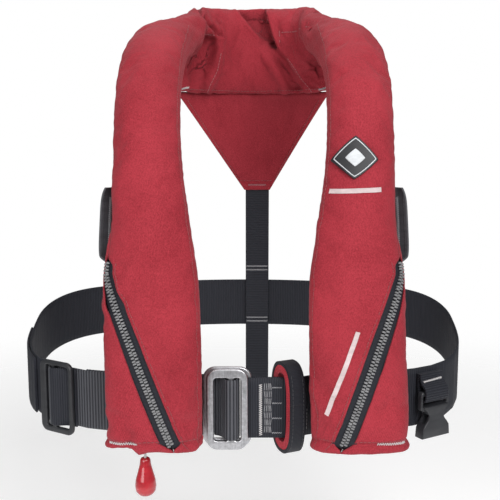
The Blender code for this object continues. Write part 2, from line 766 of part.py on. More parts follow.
def make_crotch_clip():
    """Socket half of a side-release buckle: a bar frame, a waist and an open mouth below."""
    _, along, _ = clip_frame()
    place = frame_matrix(clip_point(0, CLIP_OUT, CLIP_BAR_Z), along, (0, 0, 1))
    low = CLIP_MOUTH - CLIP_BAR_Z
    shoulder = CLIP_SHOULDER - CLIP_BAR_Z
    waist = 0.0078
    flare = low + 0.0105
    left = [(-0.0150, low), (-0.0142, flare - 0.0020), (-0.0118, flare + 0.0015),
            (-0.0088, flare + 0.0050), (-waist, flare + 0.0090),
            (-waist - 0.0006, shoulder - 0.0060), (-0.0112, shoulder - 0.0015),
            (-0.0134, shoulder + 0.0012)]
    outline = left + [(-x, y) for x, y in reversed(left)]
    body = plate("crotch_clip", outline, [], 0.0100, place, black_plastic(), 0.0006)
    top = CLIP_TOP - CLIP_BAR_Z + 0.0018
    ring = rounded_rectangle(-0.0153, 0.0153, shoulder - 0.0030, top, 0.0030, 3)
    slot = rounded_rectangle(-0.0131, 0.0131, shoulder + 0.0010, top - 0.0036, 0.0010, 2)
    bar = plate("clip_bar", ring, [slot], 0.0050, place, black_plastic(), 0.0005)
    boolean(body, bar, "UNION")
    turn = frame_matrix((0, 0, 0), along, (0, 0, 1)).to_3x3()
    mouth_height = 0.0200
    middle = clip_point(0, CLIP_OUT, CLIP_MOUTH + mouth_height / 2 - 0.0010)
    size = (0.0230, mouth_height + 0.0020, 0.0058)
    cutter = block("clip_mouth", size, middle, black_plastic(), 0.0004, turn)
    boolean(body, cutter, "DIFFERENCE")
    set_origin(body, clip_point(0, CLIP_OUT, CLIP_BAR_Z))


# ------------------------------------------------------------------ soft loop
def loop_ring(half_height, half_depth):
    """Centre line of the soft loop: an upright rounded oval around the belt."""
    forward = Vector((math.sin(LOOP_TURN), -math.cos(LOOP_TURN), 0))
    middle = Vector((LOOP_X, LOOP_Y, BELT_FRONT_Z + 0.0010))
    path = []
    count = 28
    for i in range(count):
        angle = 2 * math.pi * (i + 0.5) / count
        c, s = math.cos(angle), math.sin(angle)
        out = math.copysign(abs(c) ** (2 / 2.6), c) * half_depth
        up = math.copysign(abs(s) ** (2 / 3.4), s) * half_height
        path.append(middle + forward * out + Vector((0, 0, up)))
    return path


def make_soft_loop():
    """Tether loop around the belt: black webbing outside, red lining inside."""
    across = (math.cos(LOOP_TURN), math.sin(LOOP_TURN), 0)
    outside = ribbon("soft_loop", loop_ring(0.0360, 0.0165), across, LOOP_WIDTH, black_webbing(),
                     0.0028, True)
    lining = ribbon("soft_loop_lining", loop_ring(0.0315, 0.0120), across, LOOP_WIDTH - 0.0008,
                    red_fabric(), 0.0055, True)
    for item in (outside, lining):
        set_origin(item, (LOOP_X, LOOP_Y, BELT_FRONT_Z))


# ------------------------------------------------------------------ badge
def make_badge():
    """Diamond-shaped rubber patch on the left chest, just proud of the cover."""
    dark = material("badge_rubber", (0.02, 0.02, 0.022), 0.5)
    middle, spacing, shift = 6.06, 0.0425, 0.0064
    rows = []
    for ring in (0.0, 0.62, 1.0):
        row = []
        for i in range(24):
            angle = 2 * math.pi * i / 24
            c, s = math.cos(angle), math.sin(angle)
            reach = ring * (abs(c) ** 1.12 + abs(s) ** 1.12) ** (-1 / 1.12)
            row.append((0.0172 * reach * c, 0.0152 * reach * s))
        rows.append(row)

    def spot(across, up, lift):
        here = lobe_frame(middle + up / spacing, 1)
        share = across / here[3]
        angle = math.acos(math.copysign(abs(share) ** (SECTION_POWER / 2), share))
        return section_point(here, angle, -lift)

    points, faces = [], []
    for lift in (0.0024, 0.0012):
        for row in rows[1:]:
            points += [spot(-x - shift, y, lift) for x, y in row]
        points.append(spot(-shift, 0.0, lift))
    size = 24 * 2 + 1
    for layer in (0, 1):
        base = layer * size
        for i in range(24):
            n = (i + 1) % 24
            faces.append((base + i, base + 24 + i, base + 24 + n, base + n))
            faces.append((base + i, base + n, base + 48))
    for i in range(24):
        n = (i + 1) % 24
        faces.append((24 + i, size + 24 + i, size + 24 + n, 24 + n))
    add_object("badge_patch", closed_mesh("badge_patch", points, faces), dark, True)


# ------------------------------------------------------------------ inflation head
def cylinder_axis():
    """Foot and direction of the gas cylinder; it leans back with the lobe."""
    lean = Vector((0, 0.055, 1)).normalized()
    return Vector((HEAD_X, HEAD_Y, HEAD_HIGH)), lean


def make_inflator_body():
    """Moulded body with a bore right through it for the cylinder's neck and the piercing pin."""
    half_x, half_y, bore, power = 0.0145, 0.0115, 0.0068, 2 / 5
    turns = [2 * math.pi * i / 24 for i in range(24)]

    def bulge(value):
        return math.copysign(abs(value) ** power, value)

    def outer(z):
        return [Vector((HEAD_X + half_x * bulge(math.cos(a)), HEAD_Y + half_y * bulge(math.sin(a)), z))
                for a in turns]

    def inner(z):
        return [Vector((HEAD_X + bore * math.cos(a), HEAD_Y + bore * math.sin(a), z)) for a in turns]

    rings = [outer(HEAD_LOW), outer(HEAD_HIGH), inner(HEAD_HIGH), inner(HEAD_LOW)]
    loft("inflator_body", rings, inflator_plastic(), closed=True)


def make_gas_cylinder():
    """Steel gas cylinder with a threaded neck that screws down into the body."""
    foot, lean = cylinder_axis()
    green = material("cylinder_paint", (0.10, 0.30, 0.14), 0.35, 0.6)
    profile = [(0, -0.0090), (0.0054, -0.0090), (0.0056, -0.0080), (0.0056, 0.0012),
               (0.0078, 0.0035), (0.0120, 0.0100), (0.0132, 0.0150), (0.0132, 0.0980),
               (0.0118, 0.1055), (0.0070, 0.1105), (0, 0.1120)]
    made = turned("gas_cylinder", profile, foot, lean, green, segments=24)
    set_origin(made, foot)


def make_piercing_pin():
    steel = satin_steel()
    profile = [(0, 0.0), (0.0044, 0.0), (0.0048, 0.0006), (0.0048, 0.0030), (0.0016, 0.0036),
               (0.0014, 0.0120), (0, 0.0160)]
    foot = (HEAD_X, HEAD_Y, HEAD_LOW + 0.0004)
    pin = turned("piercing_pin", profile, foot, (0, 0, 1), steel, segments=16)
    set_origin(pin, (HEAD_X, HEAD_Y, HEAD_LOW))


def make_pin_spring():
    """Coil spring that holds the piercing pin back from the cylinder's seal."""
    turns, around = 4.0, 12
    low, high = HEAD_LOW + 0.0048, HEAD_LOW + 0.0150
    count = int(turns * around)
    path = []
    for i in range(count + 1):
        angle = 2 * math.pi * i / around
        path.append((HEAD_X + 0.0040 * math.cos(angle), HEAD_Y + 0.0040 * math.sin(angle),
                     low + (high - low) * i / count))
    tube("pin_spring", path, 0.0005, satin_steel(), 1)


def make_neck_seal():
    """O-ring under the cylinder's neck."""
    foot, lean = cylinder_axis()
    black = material("seal_rubber", (0.01, 0.01, 0.01), 0.7)
    profile = [(0.0038, 0.0), (0.0056, 0.0), (0.0056, 0.0016), (0.0038, 0.0016)]
    turned("neck_seal", profile, (foot + lean * -0.0111), lean, black, ring=True, segments=16)


def make_manifold():
    """Nut and stem that clamp the head to the bladder's valve."""
    brass = material("brass", (0.60, 0.42, 0.16), 0.35, 1.0)
    back = HEAD_Y + 0.0115 + GAP
    profile = [(0, 0), (0.0085, 0), (0.0085, 0.0017), (0, 0.0017)]
    turned("manifold_nut", profile, (HEAD_X, back, -0.2500), (0, 1, 0), brass, segments=6)


def make_status_indicator():
    profile = [(0, 0), (0.0045, 0), (0.0040, 0.0016), (0, 0.0016)]
    window = material("indicator_green", (0.02, 0.45, 0.10), 0.3)
    foot = (HEAD_X, HEAD_Y - 0.0115 - GAP, -0.2500)
    turned("status_indicator", profile, foot, (0, -1, 0), window, segments=16)


def make_lever_bracket():
    """Channel under the body; the lever's pin spans between its two cheeks."""
    outline = [(-0.0135, -0.0078), (-0.0110, -0.0078), (-0.0110, -0.0022), (0.0110, -0.0022),
               (0.0110, -0.0078), (0.0135, -0.0078), (0.0135, 0.0), (-0.0135, 0.0)]
    place = frame_matrix((HEAD_X, LEVER_PIVOT_Y + 0.0002, HEAD_LOW - GAP), (1, 0, 0), (0, 0, 1))
    plate("lever_bracket", outline, [], 0.0052, place, inflator_plastic(), 0.0003)


def make_firing_lever():
    """Lever that the pull cord swings down; its cam lifts the piercing pin."""
    boss, bore = 0.0029, 0.0019
    ring = []
    for i in range(13):
        angle = math.pi / 2 + math.pi * i / 12
        ring.append((boss * math.cos(angle), boss * math.sin(angle)))
    outline = ring + [(0.0060, -0.0024), (0.0128, -0.0034), (0.0142, -0.0030), (0.0142, -0.0016),
                      (0.0128, -0.0008), (0.0050, 0.0024)]
    turns = [2 * math.pi * i / 12 for i in range(12)]
    hole = [(bore * math.cos(a), bore * math.sin(a)) for a in turns]
    place = frame_matrix((HEAD_X - 0.0010, LEVER_PIVOT_Y, LEVER_PIVOT_Z), (0, 1, 0), (0, 0, 1))
    red = material("lever_plastic", (0.55, 0.03, 0.03), 0.4)
    lever = plate("firing_lever", outline, [hole], 0.0180, place, red, 0.0003)
    set_origin(lever, (HEAD_X, LEVER_PIVOT_Y, LEVER_PIVOT_Z))


def make_lever_pin():
    half = 0.0106
    profile = [(0, -half), (0.0015, -half), (0.0015, half), (0, half)]
    middle = (HEAD_X, LEVER_PIVOT_Y, LEVER_PIVOT_Z)
    turned("lever_pin", profile, middle, (1, 0, 0), satin_steel(), segments=12)


def make_pull_cord():
    """Short cord from the lever's free end down into the toggle."""
    high, low = LEVER_PIVOT_Z - 0.0056, TOGGLE_TOP - 0.0160
    count = 10
    path = [(PULL_X, PULL_Y, high + (low - high) * i / count) for i in range(count + 1)]
    white = material("cord_white", (0.75, 0.75, 0.74), 0.7)
    tube("pull_cord", path, 0.0010, white, 2)


def make_pull_toggle():
    """Teardrop handle, wide at the bottom, with a blind hole for the cord."""
    gloss = material("toggle_plastic", (0.60, 0.02, 0.03), 0.2)
    profile = [(0.0015, 0), (0.0034, -0.0004), (0.0042, -0.0016), (0.0048, -0.0060), (0.0064, -0.0120),
               (0.0079, -0.0175), (0.0085, -0.0225), (0.0078, -0.0268), (0.0054, -0.0298),
               (0, -TOGGLE_LENGTH), (0, -0.0168), (0.0015, -0.0166)]
    foot = (PULL_X, PULL_Y, TOGGLE_TOP)
    turned("pull_toggle", profile, foot, (0, 0, 1), gloss, ring=True, segments=24)


# ------------------------------------------------------------------ oral tube, whistle, becket
def make_oral_tube():
    """Mouth tube with its non-return poppet, spring and cap, standing up inside the left lobe."""
    black = material("tube_rubber", (0.02, 0.02, 0.02), 0.6)
    high = -0.1650
    foot = -0.2450
    base = (ORAL_X, ORAL_Y, foot)
    length = high - foot
    profile = [(0, 0), (0.0060, 0), (0.0060, length), (0.0046, length), (0.0046, length - 0.0160),
               (0.0034, length - 0.0180), (0.0034, 0.0040), (0, 0.0040)]
    turned("oral_tube", profile, base, (0, 0, 1), black, segments=16)
    flange = [(0, 0), (0.0130, 0), (0.0130, 0.0012), (0.0050, 0.0020), (0.0050, 0.0062), (0, 0.0062)]
    turned("oral_tube_flange", flange, (ORAL_X, -0.1317, -0.2380), (0, -1, 0), black, segments=16)
    stem = [(0, -0.0080), (0.0016, -0.0080), (0.0016, -0.0014), (0.0040, -0.0008),
            (0.0040, 0.0004), (0, 0.0004)]
    seat = (ORAL_X, ORAL_Y, high - 0.0020)
    poppet = turned("oral_valve_poppet", stem, seat, (0, 0, 1), white_plastic(), segments=12)
    set_origin(poppet, seat)
    cap = [(0, 0.0016), (0.0064, 0.0016), (0.0064, -0.0080), (0.0078, -0.0080),
           (0.0078, 0.0030), (0, 0.0030)]
    lid = turned("oral_tube_cap", cap, (ORAL_X, ORAL_Y, high), (0, 0, 1), black, segments=16)
    set_origin(lid, (ORAL_X, ORAL_Y, high))


def make_valve_spring():
    turns, around = 3.0, 10
    count = int(turns * around)
    low, high = -0.1805, -0.1755
    path = []
    for i in range(count + 1):
        angle = 2 * math.pi * i / around
        path.append((ORAL_X + 0.0032 * math.cos(angle), ORAL_Y + 0.0032 * math.sin(angle),
                     low + (high - low) * i / count))
    tube("valve_spring", path, 0.0004, satin_steel(), 1)


def make_whistle():
    """Flat pea-less whistle with a lanyard hole, and its tape tether."""
    orange = material("whistle_plastic", (0.85, 0.25, 0.03), 0.35)
    place = frame_matrix((0.064, -0.1455, -0.2150), (1, 0, 0), (0, 0, 1))
    outline = rounded_rectangle(-0.0070, 0.0070, -0.0220, 0.0220, 0.0030, 3)
    hole = rounded_rectangle(-0.0025, 0.0025, 0.0150, 0.0185, 0.0010, 2)
    port = rounded_rectangle(-0.0040, 0.0040, -0.0060, -0.0030, 0.0006, 2)
    plate("whistle", outline, [hole, port], 0.0070, place, orange, 0.0005)
    path = [(0.064, -0.1400, -0.1900), (0.064, -0.1380, -0.1800), (0.064, -0.1360, -0.1600),
            (0.064, -0.1345, -0.1450)]
    ribbon("whistle_tether", path, (1, 0, 0), 0.0060, white_plastic(), 0.0010)


def make_lifting_becket():
    """Webbing lifting loop, folded flat inside the left lobe in front of the bladder."""
    orange = material("becket_webbing", (0.75, 0.20, 0.03), 0.8)
    path = []
    for r in range(6):
        centre, _, outward, _, _ = lobe_frame(5.1 + 0.28 * r, 1)
        path.append(centre + outward * 0.0060)
    ribbon("lifting_becket", path, (1, 0, 0), STRAP_WIDTH * 0.8, orange, WEB)


def main():
    clear_scene()
    make_lobe_covers()
    make_zips()
    make_collar()
    make_bladder()
    make_reflective_patches()
    make_yoke()
    make_back_strap()
    make_side_tabs()
    make_belt_back()
    make_belt_tail()
    make_belt_front()
    make_belt_end_loop()
    make_belt_channels()
    make_buckle()
    make_side_adjuster()
    make_clip_tab()
    make_crotch_clip()
    make_soft_loop()
    make_badge()
    make_inflator_body()
    make_gas_cylinder()
    make_piercing_pin()
    make_pin_spring()
    make_neck_seal()
    make_manifold()
    make_status_indicator()
    make_lever_bracket()
    make_firing_lever()
    make_lever_pin()
    make_pull_cord()
    make_pull_toggle()
    make_oral_tube()
    make_valve_spring()
    make_whistle()
    make_lifting_becket()


main()
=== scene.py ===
"""Looks for the inflatable life jacket: padded red covers, zips, webbing, buckles and stitching.

Metres, +Z up, the front faces -Y. "right" is the wearer's right, at -X.
"""
import math

import bmesh
import bpy
import numpy as np
from mathutils import Matrix, Vector
from mathutils.bvhtree import BVHTree


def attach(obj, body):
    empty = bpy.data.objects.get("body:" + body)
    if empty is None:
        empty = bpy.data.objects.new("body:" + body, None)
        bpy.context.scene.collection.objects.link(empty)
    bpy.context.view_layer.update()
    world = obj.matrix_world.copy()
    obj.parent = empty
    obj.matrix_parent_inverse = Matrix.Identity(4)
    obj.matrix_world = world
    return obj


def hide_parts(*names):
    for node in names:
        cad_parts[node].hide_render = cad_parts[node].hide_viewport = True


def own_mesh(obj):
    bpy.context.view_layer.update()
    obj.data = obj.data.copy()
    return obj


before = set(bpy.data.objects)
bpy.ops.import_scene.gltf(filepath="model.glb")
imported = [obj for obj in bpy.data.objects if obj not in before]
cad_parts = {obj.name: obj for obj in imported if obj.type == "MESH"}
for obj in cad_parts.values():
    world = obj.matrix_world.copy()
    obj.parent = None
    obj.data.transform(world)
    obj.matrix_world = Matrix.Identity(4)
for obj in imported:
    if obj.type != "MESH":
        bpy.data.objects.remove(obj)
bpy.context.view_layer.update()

# Driving dimensions, the same as the CAD model's
GAP = 0.0004
BELT_WIDTH = 0.050
STRAP_WIDTH = 0.025
SECTION_POWER = 2.5
SPLAY = 0.005
STATIONS = (
    (-0.078, -0.140, -0.2855, 0.0365, 0.0120, (-1, 0, 0)),
    (-0.078, -0.140, -0.2760, 0.0378, 0.0182, (-1, 0, 0)),
    (-0.078, -0.140, -0.2500, 0.0380, 0.0210, (-1, 0, 0)),
    (-0.078, -0.139, -0.2000, 0.0378, 0.0210, (-1, 0, 0)),
    (-0.079, -0.135, -0.1500, 0.0365, 0.0210, (-1, 0, 0)),
    (-0.079, -0.129, -0.1080, 0.0300, 0.0210, (-1, 0, 0)),
    (-0.082, -0.118, -0.0680, 0.0270, 0.0210, (-1, 0, 0)),
    (-0.084, -0.100, -0.0250, 0.0260, 0.0210, (-1, 0, 0)),
    (-0.084, -0.070, 0.0120, 0.0262, 0.0205, (-1, 0, 0)),
    (-0.081, -0.032, 0.0335, 0.0268, 0.0195, (-0.99, 0, -0.14)),
    (-0.076, 0.010, 0.0415, 0.0315, 0.0188, (-0.86, 0.12, -0.50)),
    (-0.062, 0.047, 0.0405, 0.0395, 0.0172, (-0.32, 0.12, -0.94)),
    (-0.035, 0.072, 0.0415, 0.0410, 0.0165, (-0.10, 0.05, -0.99)),
    (0.000, 0.081, 0.0420, 0.0415, 0.0160, (0, 0, -1)),
)
T_SHOULDER = 10.4                 # the lobe covers reach a little over the collar
T_COLLAR = 9.85
T_END = float(len(STATIONS) - 1)
T_ZIP_TOP = 4.3
T_TAB_TOP, T_TAB_FOOT = 5.66, 4.28
ZIP_TOP_Z = -0.126
ZIP_FADE = 0.018
ZIP_HALF = 0.0078
ZIP_FOOT_Z = -0.2765               # the zip's lower end
FOOT_LIP_Z = -0.2810               # the foot hem's thickest line
TEETH_PITCH = 0.0024
BELT_X, BELT_Y = -0.008, 0.0065
BELT_HALF_X, BELT_HALF_Y = 0.196, 0.1185
BELT_FRONT_Z, BELT_BACK_Z = -0.258, -0.222
REAR_FRAME_Y, FRONT_FRAME_Y = -0.119, -0.1254
REAR_RIGHT_X = -0.0015
LOOP_PLACE = Vector((0.0275, -0.1206, -0.2570))
LOOP_TURN = math.radians(25)
LOOP_FORWARD = Vector((math.sin(LOOP_TURN), -math.cos(LOOP_TURN), 0))
LOOP_ACROSS = Vector((math.cos(LOOP_TURN), math.sin(LOOP_TURN), 0))
CLIP_X = 0.1460
PULL = Vector((-0.0855, -0.1400, -0.2778))
PULL_LENGTH = 0.0307
HEAD_X, HEAD_Y = -0.078, -0.143   # the inflation head's axis
ORAL_TUBE = (0.087, -0.1445)      # the oral tube's axis
YOKE_TOP, YOKE_FOOT = -0.0010, -0.0977
CLOTH_STEP = 0.0032               # spacing of the simulated cloth's points
COVER_WALL = 0.0012               # thickness of the covers' and the collar's fabric
RIB = 0.0026                      # pitch of the coarse ribs on the belt's doubled front run
STRAP_RIB = 0.0019                # pitch of the ribs on the 25 mm webbing
BACKWARD = (0, 1, 0)              # away from the camera
UP = (0, 0, 1)

# Stage
FLOOR_Z = -0.46
BADGE_HALF_WIDTH, BADGE_HALF_HEIGHT = 0.0176, 0.0156
WORLD_LIGHT = 0.22
LIGHTS = (                        # name, place, power in watts and size in metres
    ("key", (0.55, -1.25, 0.60), 17.0, 0.8),
    ("fill", (-0.75, -1.20, 0.10), 8.5, 0.8),
    ("top", (0.00, 0.25, 1.20), 6.0, 0.9),
)


# ------------------------------------------------------------------ material tools
def surface(name, colour, roughness=0.6, metallic=0.0, sheen=0.0, coat=0.0):
    """A Principled material and its tree."""
    made = bpy.data.materials.new(name)
    made.use_nodes = True
    tree = made.node_tree
    shader = tree.nodes["Principled BSDF"]
    shader.inputs["Base Color"].default_value = (*colour, 1)
    shader.inputs["Roughness"].default_value = roughness
    shader.inputs["Metallic"].default_value = metallic
    shader.inputs["Sheen Weight"].default_value = sheen
    shader.inputs["Sheen Roughness"].default_value = 0.4
    shader.inputs["Coat Weight"].default_value = coat
    return made, tree, shader


def feed(tree, node, socket, value):
    """Set a socket to a number, or link it from another node's output."""
    if isinstance(value, bpy.types.NodeSocket):
        tree.links.new(value, node.inputs[socket])
    else:
        node.inputs[socket].default_value = value


def calc(tree, operation, first, second=0.0, third=0.0):
    node = tree.nodes.new("ShaderNodeMath")
    node.operation = operation
    for socket, value in enumerate((first, second, third)):
        feed(tree, node, socket, value)
    return node.outputs[0]


def weighted(tree, *terms):
    """Sum of (value, weight) pairs."""
    total = 0.0
    for value, weight in terms:
        total = calc(tree, "MULTIPLY_ADD", value, weight, total)
    return total


def position(tree):
    return tree.nodes.new("ShaderNodeTexCoord").outputs["Object"]


def cloth_uv(tree):
    """Distances across and along the cloth, in metres."""
    node = tree.nodes.new("ShaderNodeSeparateXYZ")
    tree.links.new(tree.nodes.new("ShaderNodeTexCoord").outputs["UV"], node.inputs[0])
    return node.outputs[0], node.outputs[1]


def noise(tree, scale, detail=2.0, stretch=(1, 1, 1), rough=0.5):
    """Noise value from object coordinates; scale is features per metre."""
    mapping = tree.nodes.new("ShaderNodeMapping")
    mapping.inputs["Scale"].default_value = stretch
    tree.links.new(position(tree), mapping.inputs["Vector"])
    node = tree.nodes.new("ShaderNodeTexNoise")
    tree.links.new(mapping.outputs[0], node.inputs["Vector"])
    node.inputs["Scale"].default_value = scale
    node.inputs["Detail"].default_value = detail
    node.inputs["Roughness"].default_value = rough
    return node.outputs["Fac"]


def ramp(tree, value, stops):
    """Colour ramp from (position, colour) stops."""
    node = tree.nodes.new("ShaderNodeValToRGB")
    points = node.color_ramp.elements
    while len(points) < len(stops):
        points.new(0.5)
    for point, (place, colour) in zip(points, stops):
        point.position = place
        point.color = (*colour, 1)
    tree.links.new(value, node.inputs[0])
    return node.outputs[0]


def spread(tree, value, low, high):
    """Rescale a 0 to 1 value to low to high."""
    return calc(tree, "MULTIPLY_ADD", value, high - low, low)


def bump(tree, shader, height, distance, strength=1.0):
    node = tree.nodes.new("ShaderNodeBump")
    node.inputs["Strength"].default_value = strength
    node.inputs["Distance"].default_value = distance
    tree.links.new(height, node.inputs["Height"])
    tree.links.new(node.outputs[0], shader.inputs["Normal"])


def weave(tree, pitch):
    """Plain weave height: threads that pass over and under each other."""
    across, along = cloth_uv(tree)
    u = calc(tree, "DIVIDE", across, pitch)
    v = calc(tree, "DIVIDE", along, pitch)
    warp = calc(tree, "ABSOLUTE", calc(tree, "SINE", calc(tree, "MULTIPLY", u, math.pi)))
    weft = calc(tree, "ABSOLUTE", calc(tree, "SINE", calc(tree, "MULTIPLY", v, math.pi)))
    cell = calc(tree, "ADD", calc(tree, "FLOOR", u), calc(tree, "FLOOR", v))
    over = calc(tree, "ABSOLUTE", calc(tree, "MODULO", cell, 2.0))
    first = calc(tree, "MULTIPLY", warp, over)
    second = calc(tree, "MULTIPLY", weft, calc(tree, "SUBTRACT", 1.0, over))
    return calc(tree, "ADD", first, second)


def shaded(tree, colour, reach):
    """Painted shade: colour darkened by ambient occlusion in folds and hollows narrower than reach."""
    node = tree.nodes.new("ShaderNodeAmbientOcclusion")
    node.samples = 8
    node.inputs["Distance"].default_value = reach
    fold_shade_mix = tree.nodes.new("ShaderNodeMixRGB")
    fold_shade_mix.blend_type = "MULTIPLY"
    fold_shade_mix.inputs["Fac"].default_value = 0.65
    tree.links.new(colour, fold_shade_mix.inputs["Color1"])
    tree.links.new(node.outputs["Color"], fold_shade_mix.inputs["Color2"])
    return fold_shade_mix.outputs["Color"]


# ------------------------------------------------------------------ materials
def red_cloth(name="red_nylon", shade=1.0, pitch=0.0009):
    """Dense crimson oxford weave, a little lighter on the thread crests, with slight slubs and painted shade
    in its folds.
    """
    made, tree, shader = surface(name, (0.3, 0.02, 0.03), 0.72, sheen=0.15)
    dark = tuple(shade * c for c in (0.215, 0.008, 0.016))
    light = tuple(shade * c for c in (0.450, 0.036, 0.054))
    grain = noise(tree, 1200, 2, (1, 1, 0.7))
    cloud = noise(tree, 22, 3)
    threads = weave(tree, pitch)
    mixed = weighted(tree, (grain, 0.52), (cloud, 0.28), (threads, 0.20))
    colour = ramp(tree, mixed, ((0.36, dark), (0.64, light)))
    # Painted shade: the colour is darkened in the cloth's folds and hollows.
    tree.links.new(shaded(tree, colour, 0.035), shader.inputs["Base Color"])
    tree.links.new(spread(tree, grain, 0.60, 0.85), shader.inputs["Roughness"])
    shader.inputs["Specular IOR Level"].default_value = 0.25
    shader.inputs["Sheen Tint"].default_value = (1.0, 0.55, 0.58, 1)
    bump(tree, shader, weighted(tree, (threads, 1.0), (grain, 0.8)), 0.00016, 0.8)
    return made


def webbing_look(name, pitch, contrast, colour=(0.008, 0.009, 0.014), crest=(0.040, 0.043, 0.056)):
    """Ribbed webbing: ribs across the band, with fine twill threads along each rib, and painted sheen that
    lightens the colour to crest on the ribs' high lines.
    """
    made, tree, shader = surface(name, colour, 0.55, sheen=0.05)
    shader.inputs["Specular IOR Level"].default_value = 0.3
    across, along = cloth_uv(tree)
    phase = calc(tree, "MULTIPLY", along, 2 * math.pi / pitch)
    rib = calc(tree, "MULTIPLY_ADD", calc(tree, "COSINE", phase), 0.5, 0.5)
    slant = calc(tree, "ADD", calc(tree, "MULTIPLY", across, 2 * math.pi / 0.0009),
                 calc(tree, "MULTIPLY", along, math.pi / 0.0011))
    twill = calc(tree, "MULTIPLY_ADD", calc(tree, "SINE", slant), 0.5, 0.5)
    fuzz = noise(tree, 700, 2)
    value = weighted(tree, (rib, contrast), (twill, 0.18), (fuzz, 0.35))
    # Painted sheen: the ribs' high lines take the lighter crest colour.
    tree.links.new(ramp(tree, value, ((0.25, colour), (1.0, crest))), shader.inputs["Base Color"])
    tree.links.new(spread(tree, fuzz, 0.50, 0.75), shader.inputs["Roughness"])
    bump(tree, shader, weighted(tree, (rib, 1.2), (twill, 0.4), (fuzz, 0.3)), 0.00022, 0.8)
    return made


def brushed_steel(name="brushed_steel", colour=(0.50, 0.50, 0.52), along=(40, 1, 1)):
    """Stainless steel: fine brushing, small pits and handling marks."""
    made, tree, shader = surface(name, colour, 0.3, 1.0)
    brush = noise(tree, 60, 6, along, 0.7)
    marks = noise(tree, 340, 4, (1, 1, 1), 0.65)
    mixed = weighted(tree, (brush, 0.5), (marks, 0.5))
    dull = tuple(0.62 * c for c in colour)
    clear = tuple(min(1.0, 1.35 * c) for c in colour)
    tree.links.new(ramp(tree, mixed, ((0.32, dull), (0.66, clear))), shader.inputs["Base Color"])
    tree.links.new(spread(tree, mixed, 0.22, 0.52), shader.inputs["Roughness"])
    bump(tree, shader, mixed, 0.00006, 0.5)
    return made


def moulded(name, colour, roughness=0.42, coat=0.0, grain=0.00003, scale=1500):
    """Injection-moulded plastic or rubber: faint texture, uneven gloss and scuffs."""
    made, tree, shader = surface(name, colour, roughness, coat=coat)
    fine = noise(tree, scale, 2)
    scuff = noise(tree, 60, 5, (1, 1, 3), 0.65)
    low = tuple(0.85 * c for c in colour)
    high = tuple(min(1.0, 1.25 * c + 0.004) for c in colour)
    tree.links.new(ramp(tree, scuff, ((0.35, low), (0.70, high))), shader.inputs["Base Color"])
    tree.links.new(spread(tree, scuff, roughness - 0.08, roughness + 0.12), shader.inputs["Roughness"])
    bump(tree, shader, weighted(tree, (fine, 1.0), (scuff, 0.6)), grain, 0.6)
    return made


def thread(name, colour):
    """Twisted sewing thread."""
    made, tree, shader = surface(name, colour, 0.55, sheen=0.2)
    strand = noise(tree, 2600, 1)
    low = tuple(0.7 * c for c in colour)
    tree.links.new(ramp(tree, strand, ((0.3, low), (0.7, colour))), shader.inputs["Base Color"])
    bump(tree, shader, strand, 0.00008, 0.8)
    return made


def painted_metal(name, colour):
    """Lacquered steel with a fine orange-peel and a few worn specks."""
    made, tree, shader = surface(name, colour, 0.3, 0.35, coat=0.4)
    wear = noise(tree, 420, 5, (1, 1, 0.4), 0.7)
    tree.links.new(ramp(tree, wear, ((0.30, (0.35, 0.36, 0.36)), (0.36, colour))),
                   shader.inputs["Base Color"])
    bump(tree, shader, noise(tree, 1200, 1), 0.00002, 0.5)
    return made


def braid(name, centre, radius):
    """Braided cord: two sets of threads that wind round it in opposite directions, with painted shade in the
    grooves between them.
    """
    made, tree, shader = surface(name, (0.72, 0.72, 0.70), 0.6, sheen=0.2)
    parts = tree.nodes.new("ShaderNodeSeparateXYZ")
    tree.links.new(position(tree), parts.inputs[0])
    x = calc(tree, "SUBTRACT", parts.outputs[0], centre.x)
    y = calc(tree, "SUBTRACT", parts.outputs[1], centre.y)
    angle = calc(tree, "MULTIPLY", calc(tree, "ARCTAN2", y, x), 4.0)
    rise = calc(tree, "MULTIPLY", parts.outputs[2], 2 * math.pi / (1.6 * radius))
    one = calc(tree, "SINE", calc(tree, "ADD", angle, rise))
    two = calc(tree, "SINE", calc(tree, "SUBTRACT", angle, rise))
    height = calc(tree, "MULTIPLY_ADD", calc(tree, "MULTIPLY", one, two), 0.5, 0.5)
    # Painted shade: the colour darkens where the braid's height is low, in the grooves between threads.
    tree.links.new(ramp(tree, height, ((0.1, (0.42, 0.42, 0.42)), (0.7, (0.78, 0.78, 0.76)))),
                   shader.inputs["Base Color"])
    bump(tree, shader, height, 0.0003, 0.9)
    return made


# ------------------------------------------------------------------ mesh tools
def linked(name, data):
    """A new object in the scene that shows data."""
    made = bpy.data.objects.new(name, data)
    bpy.context.scene.collection.objects.link(made)
    return made


def mesh_object(name, points, faces, material, uv=None, smooth=True):
    """A mesh object; uv holds one (u, v) per point, in metres."""
    mesh = bpy.data.meshes.new(name)
    mesh.from_pydata([tuple(p) for p in points], [], [tuple(f) for f in faces])
    if uv is not None:
        layer = mesh.uv_layers.new(name="cloth")
        corners = np.zeros(len(mesh.loops), np.int32)
        mesh.loops.foreach_get("vertex_index", corners)
        layer.data.foreach_set("uv", np.asarray(uv, np.float32)[corners].ravel())
    mesh.materials.append(material)
    if smooth:
        mesh.shade_smooth()
    return linked(name, mesh)


def grid_faces(rows, columns, wrap=False, flip=False):
    faces = []
    for r in range(rows - 1):
        for c in range(columns if wrap else columns - 1):
            n = (c + 1) % columns
            quad = (r * columns + c, r * columns + n, (r + 1) * columns + n, (r + 1) * columns + c)
            faces.append(quad[::-1] if flip else quad)
    return faces


def grid_uv(grid):
    """Distance across and along a grid of points, from its typical row and its middle column."""
    rows, columns = grid.shape[:2]
    steps = np.linalg.norm(np.diff(grid, axis=1), axis=2).mean(axis=0)
    across = np.concatenate([[0], np.cumsum(steps)])
    along = distances(grid[:, columns // 2])
    return [(across[c], along[r]) for r in range(rows) for c in range(columns)]


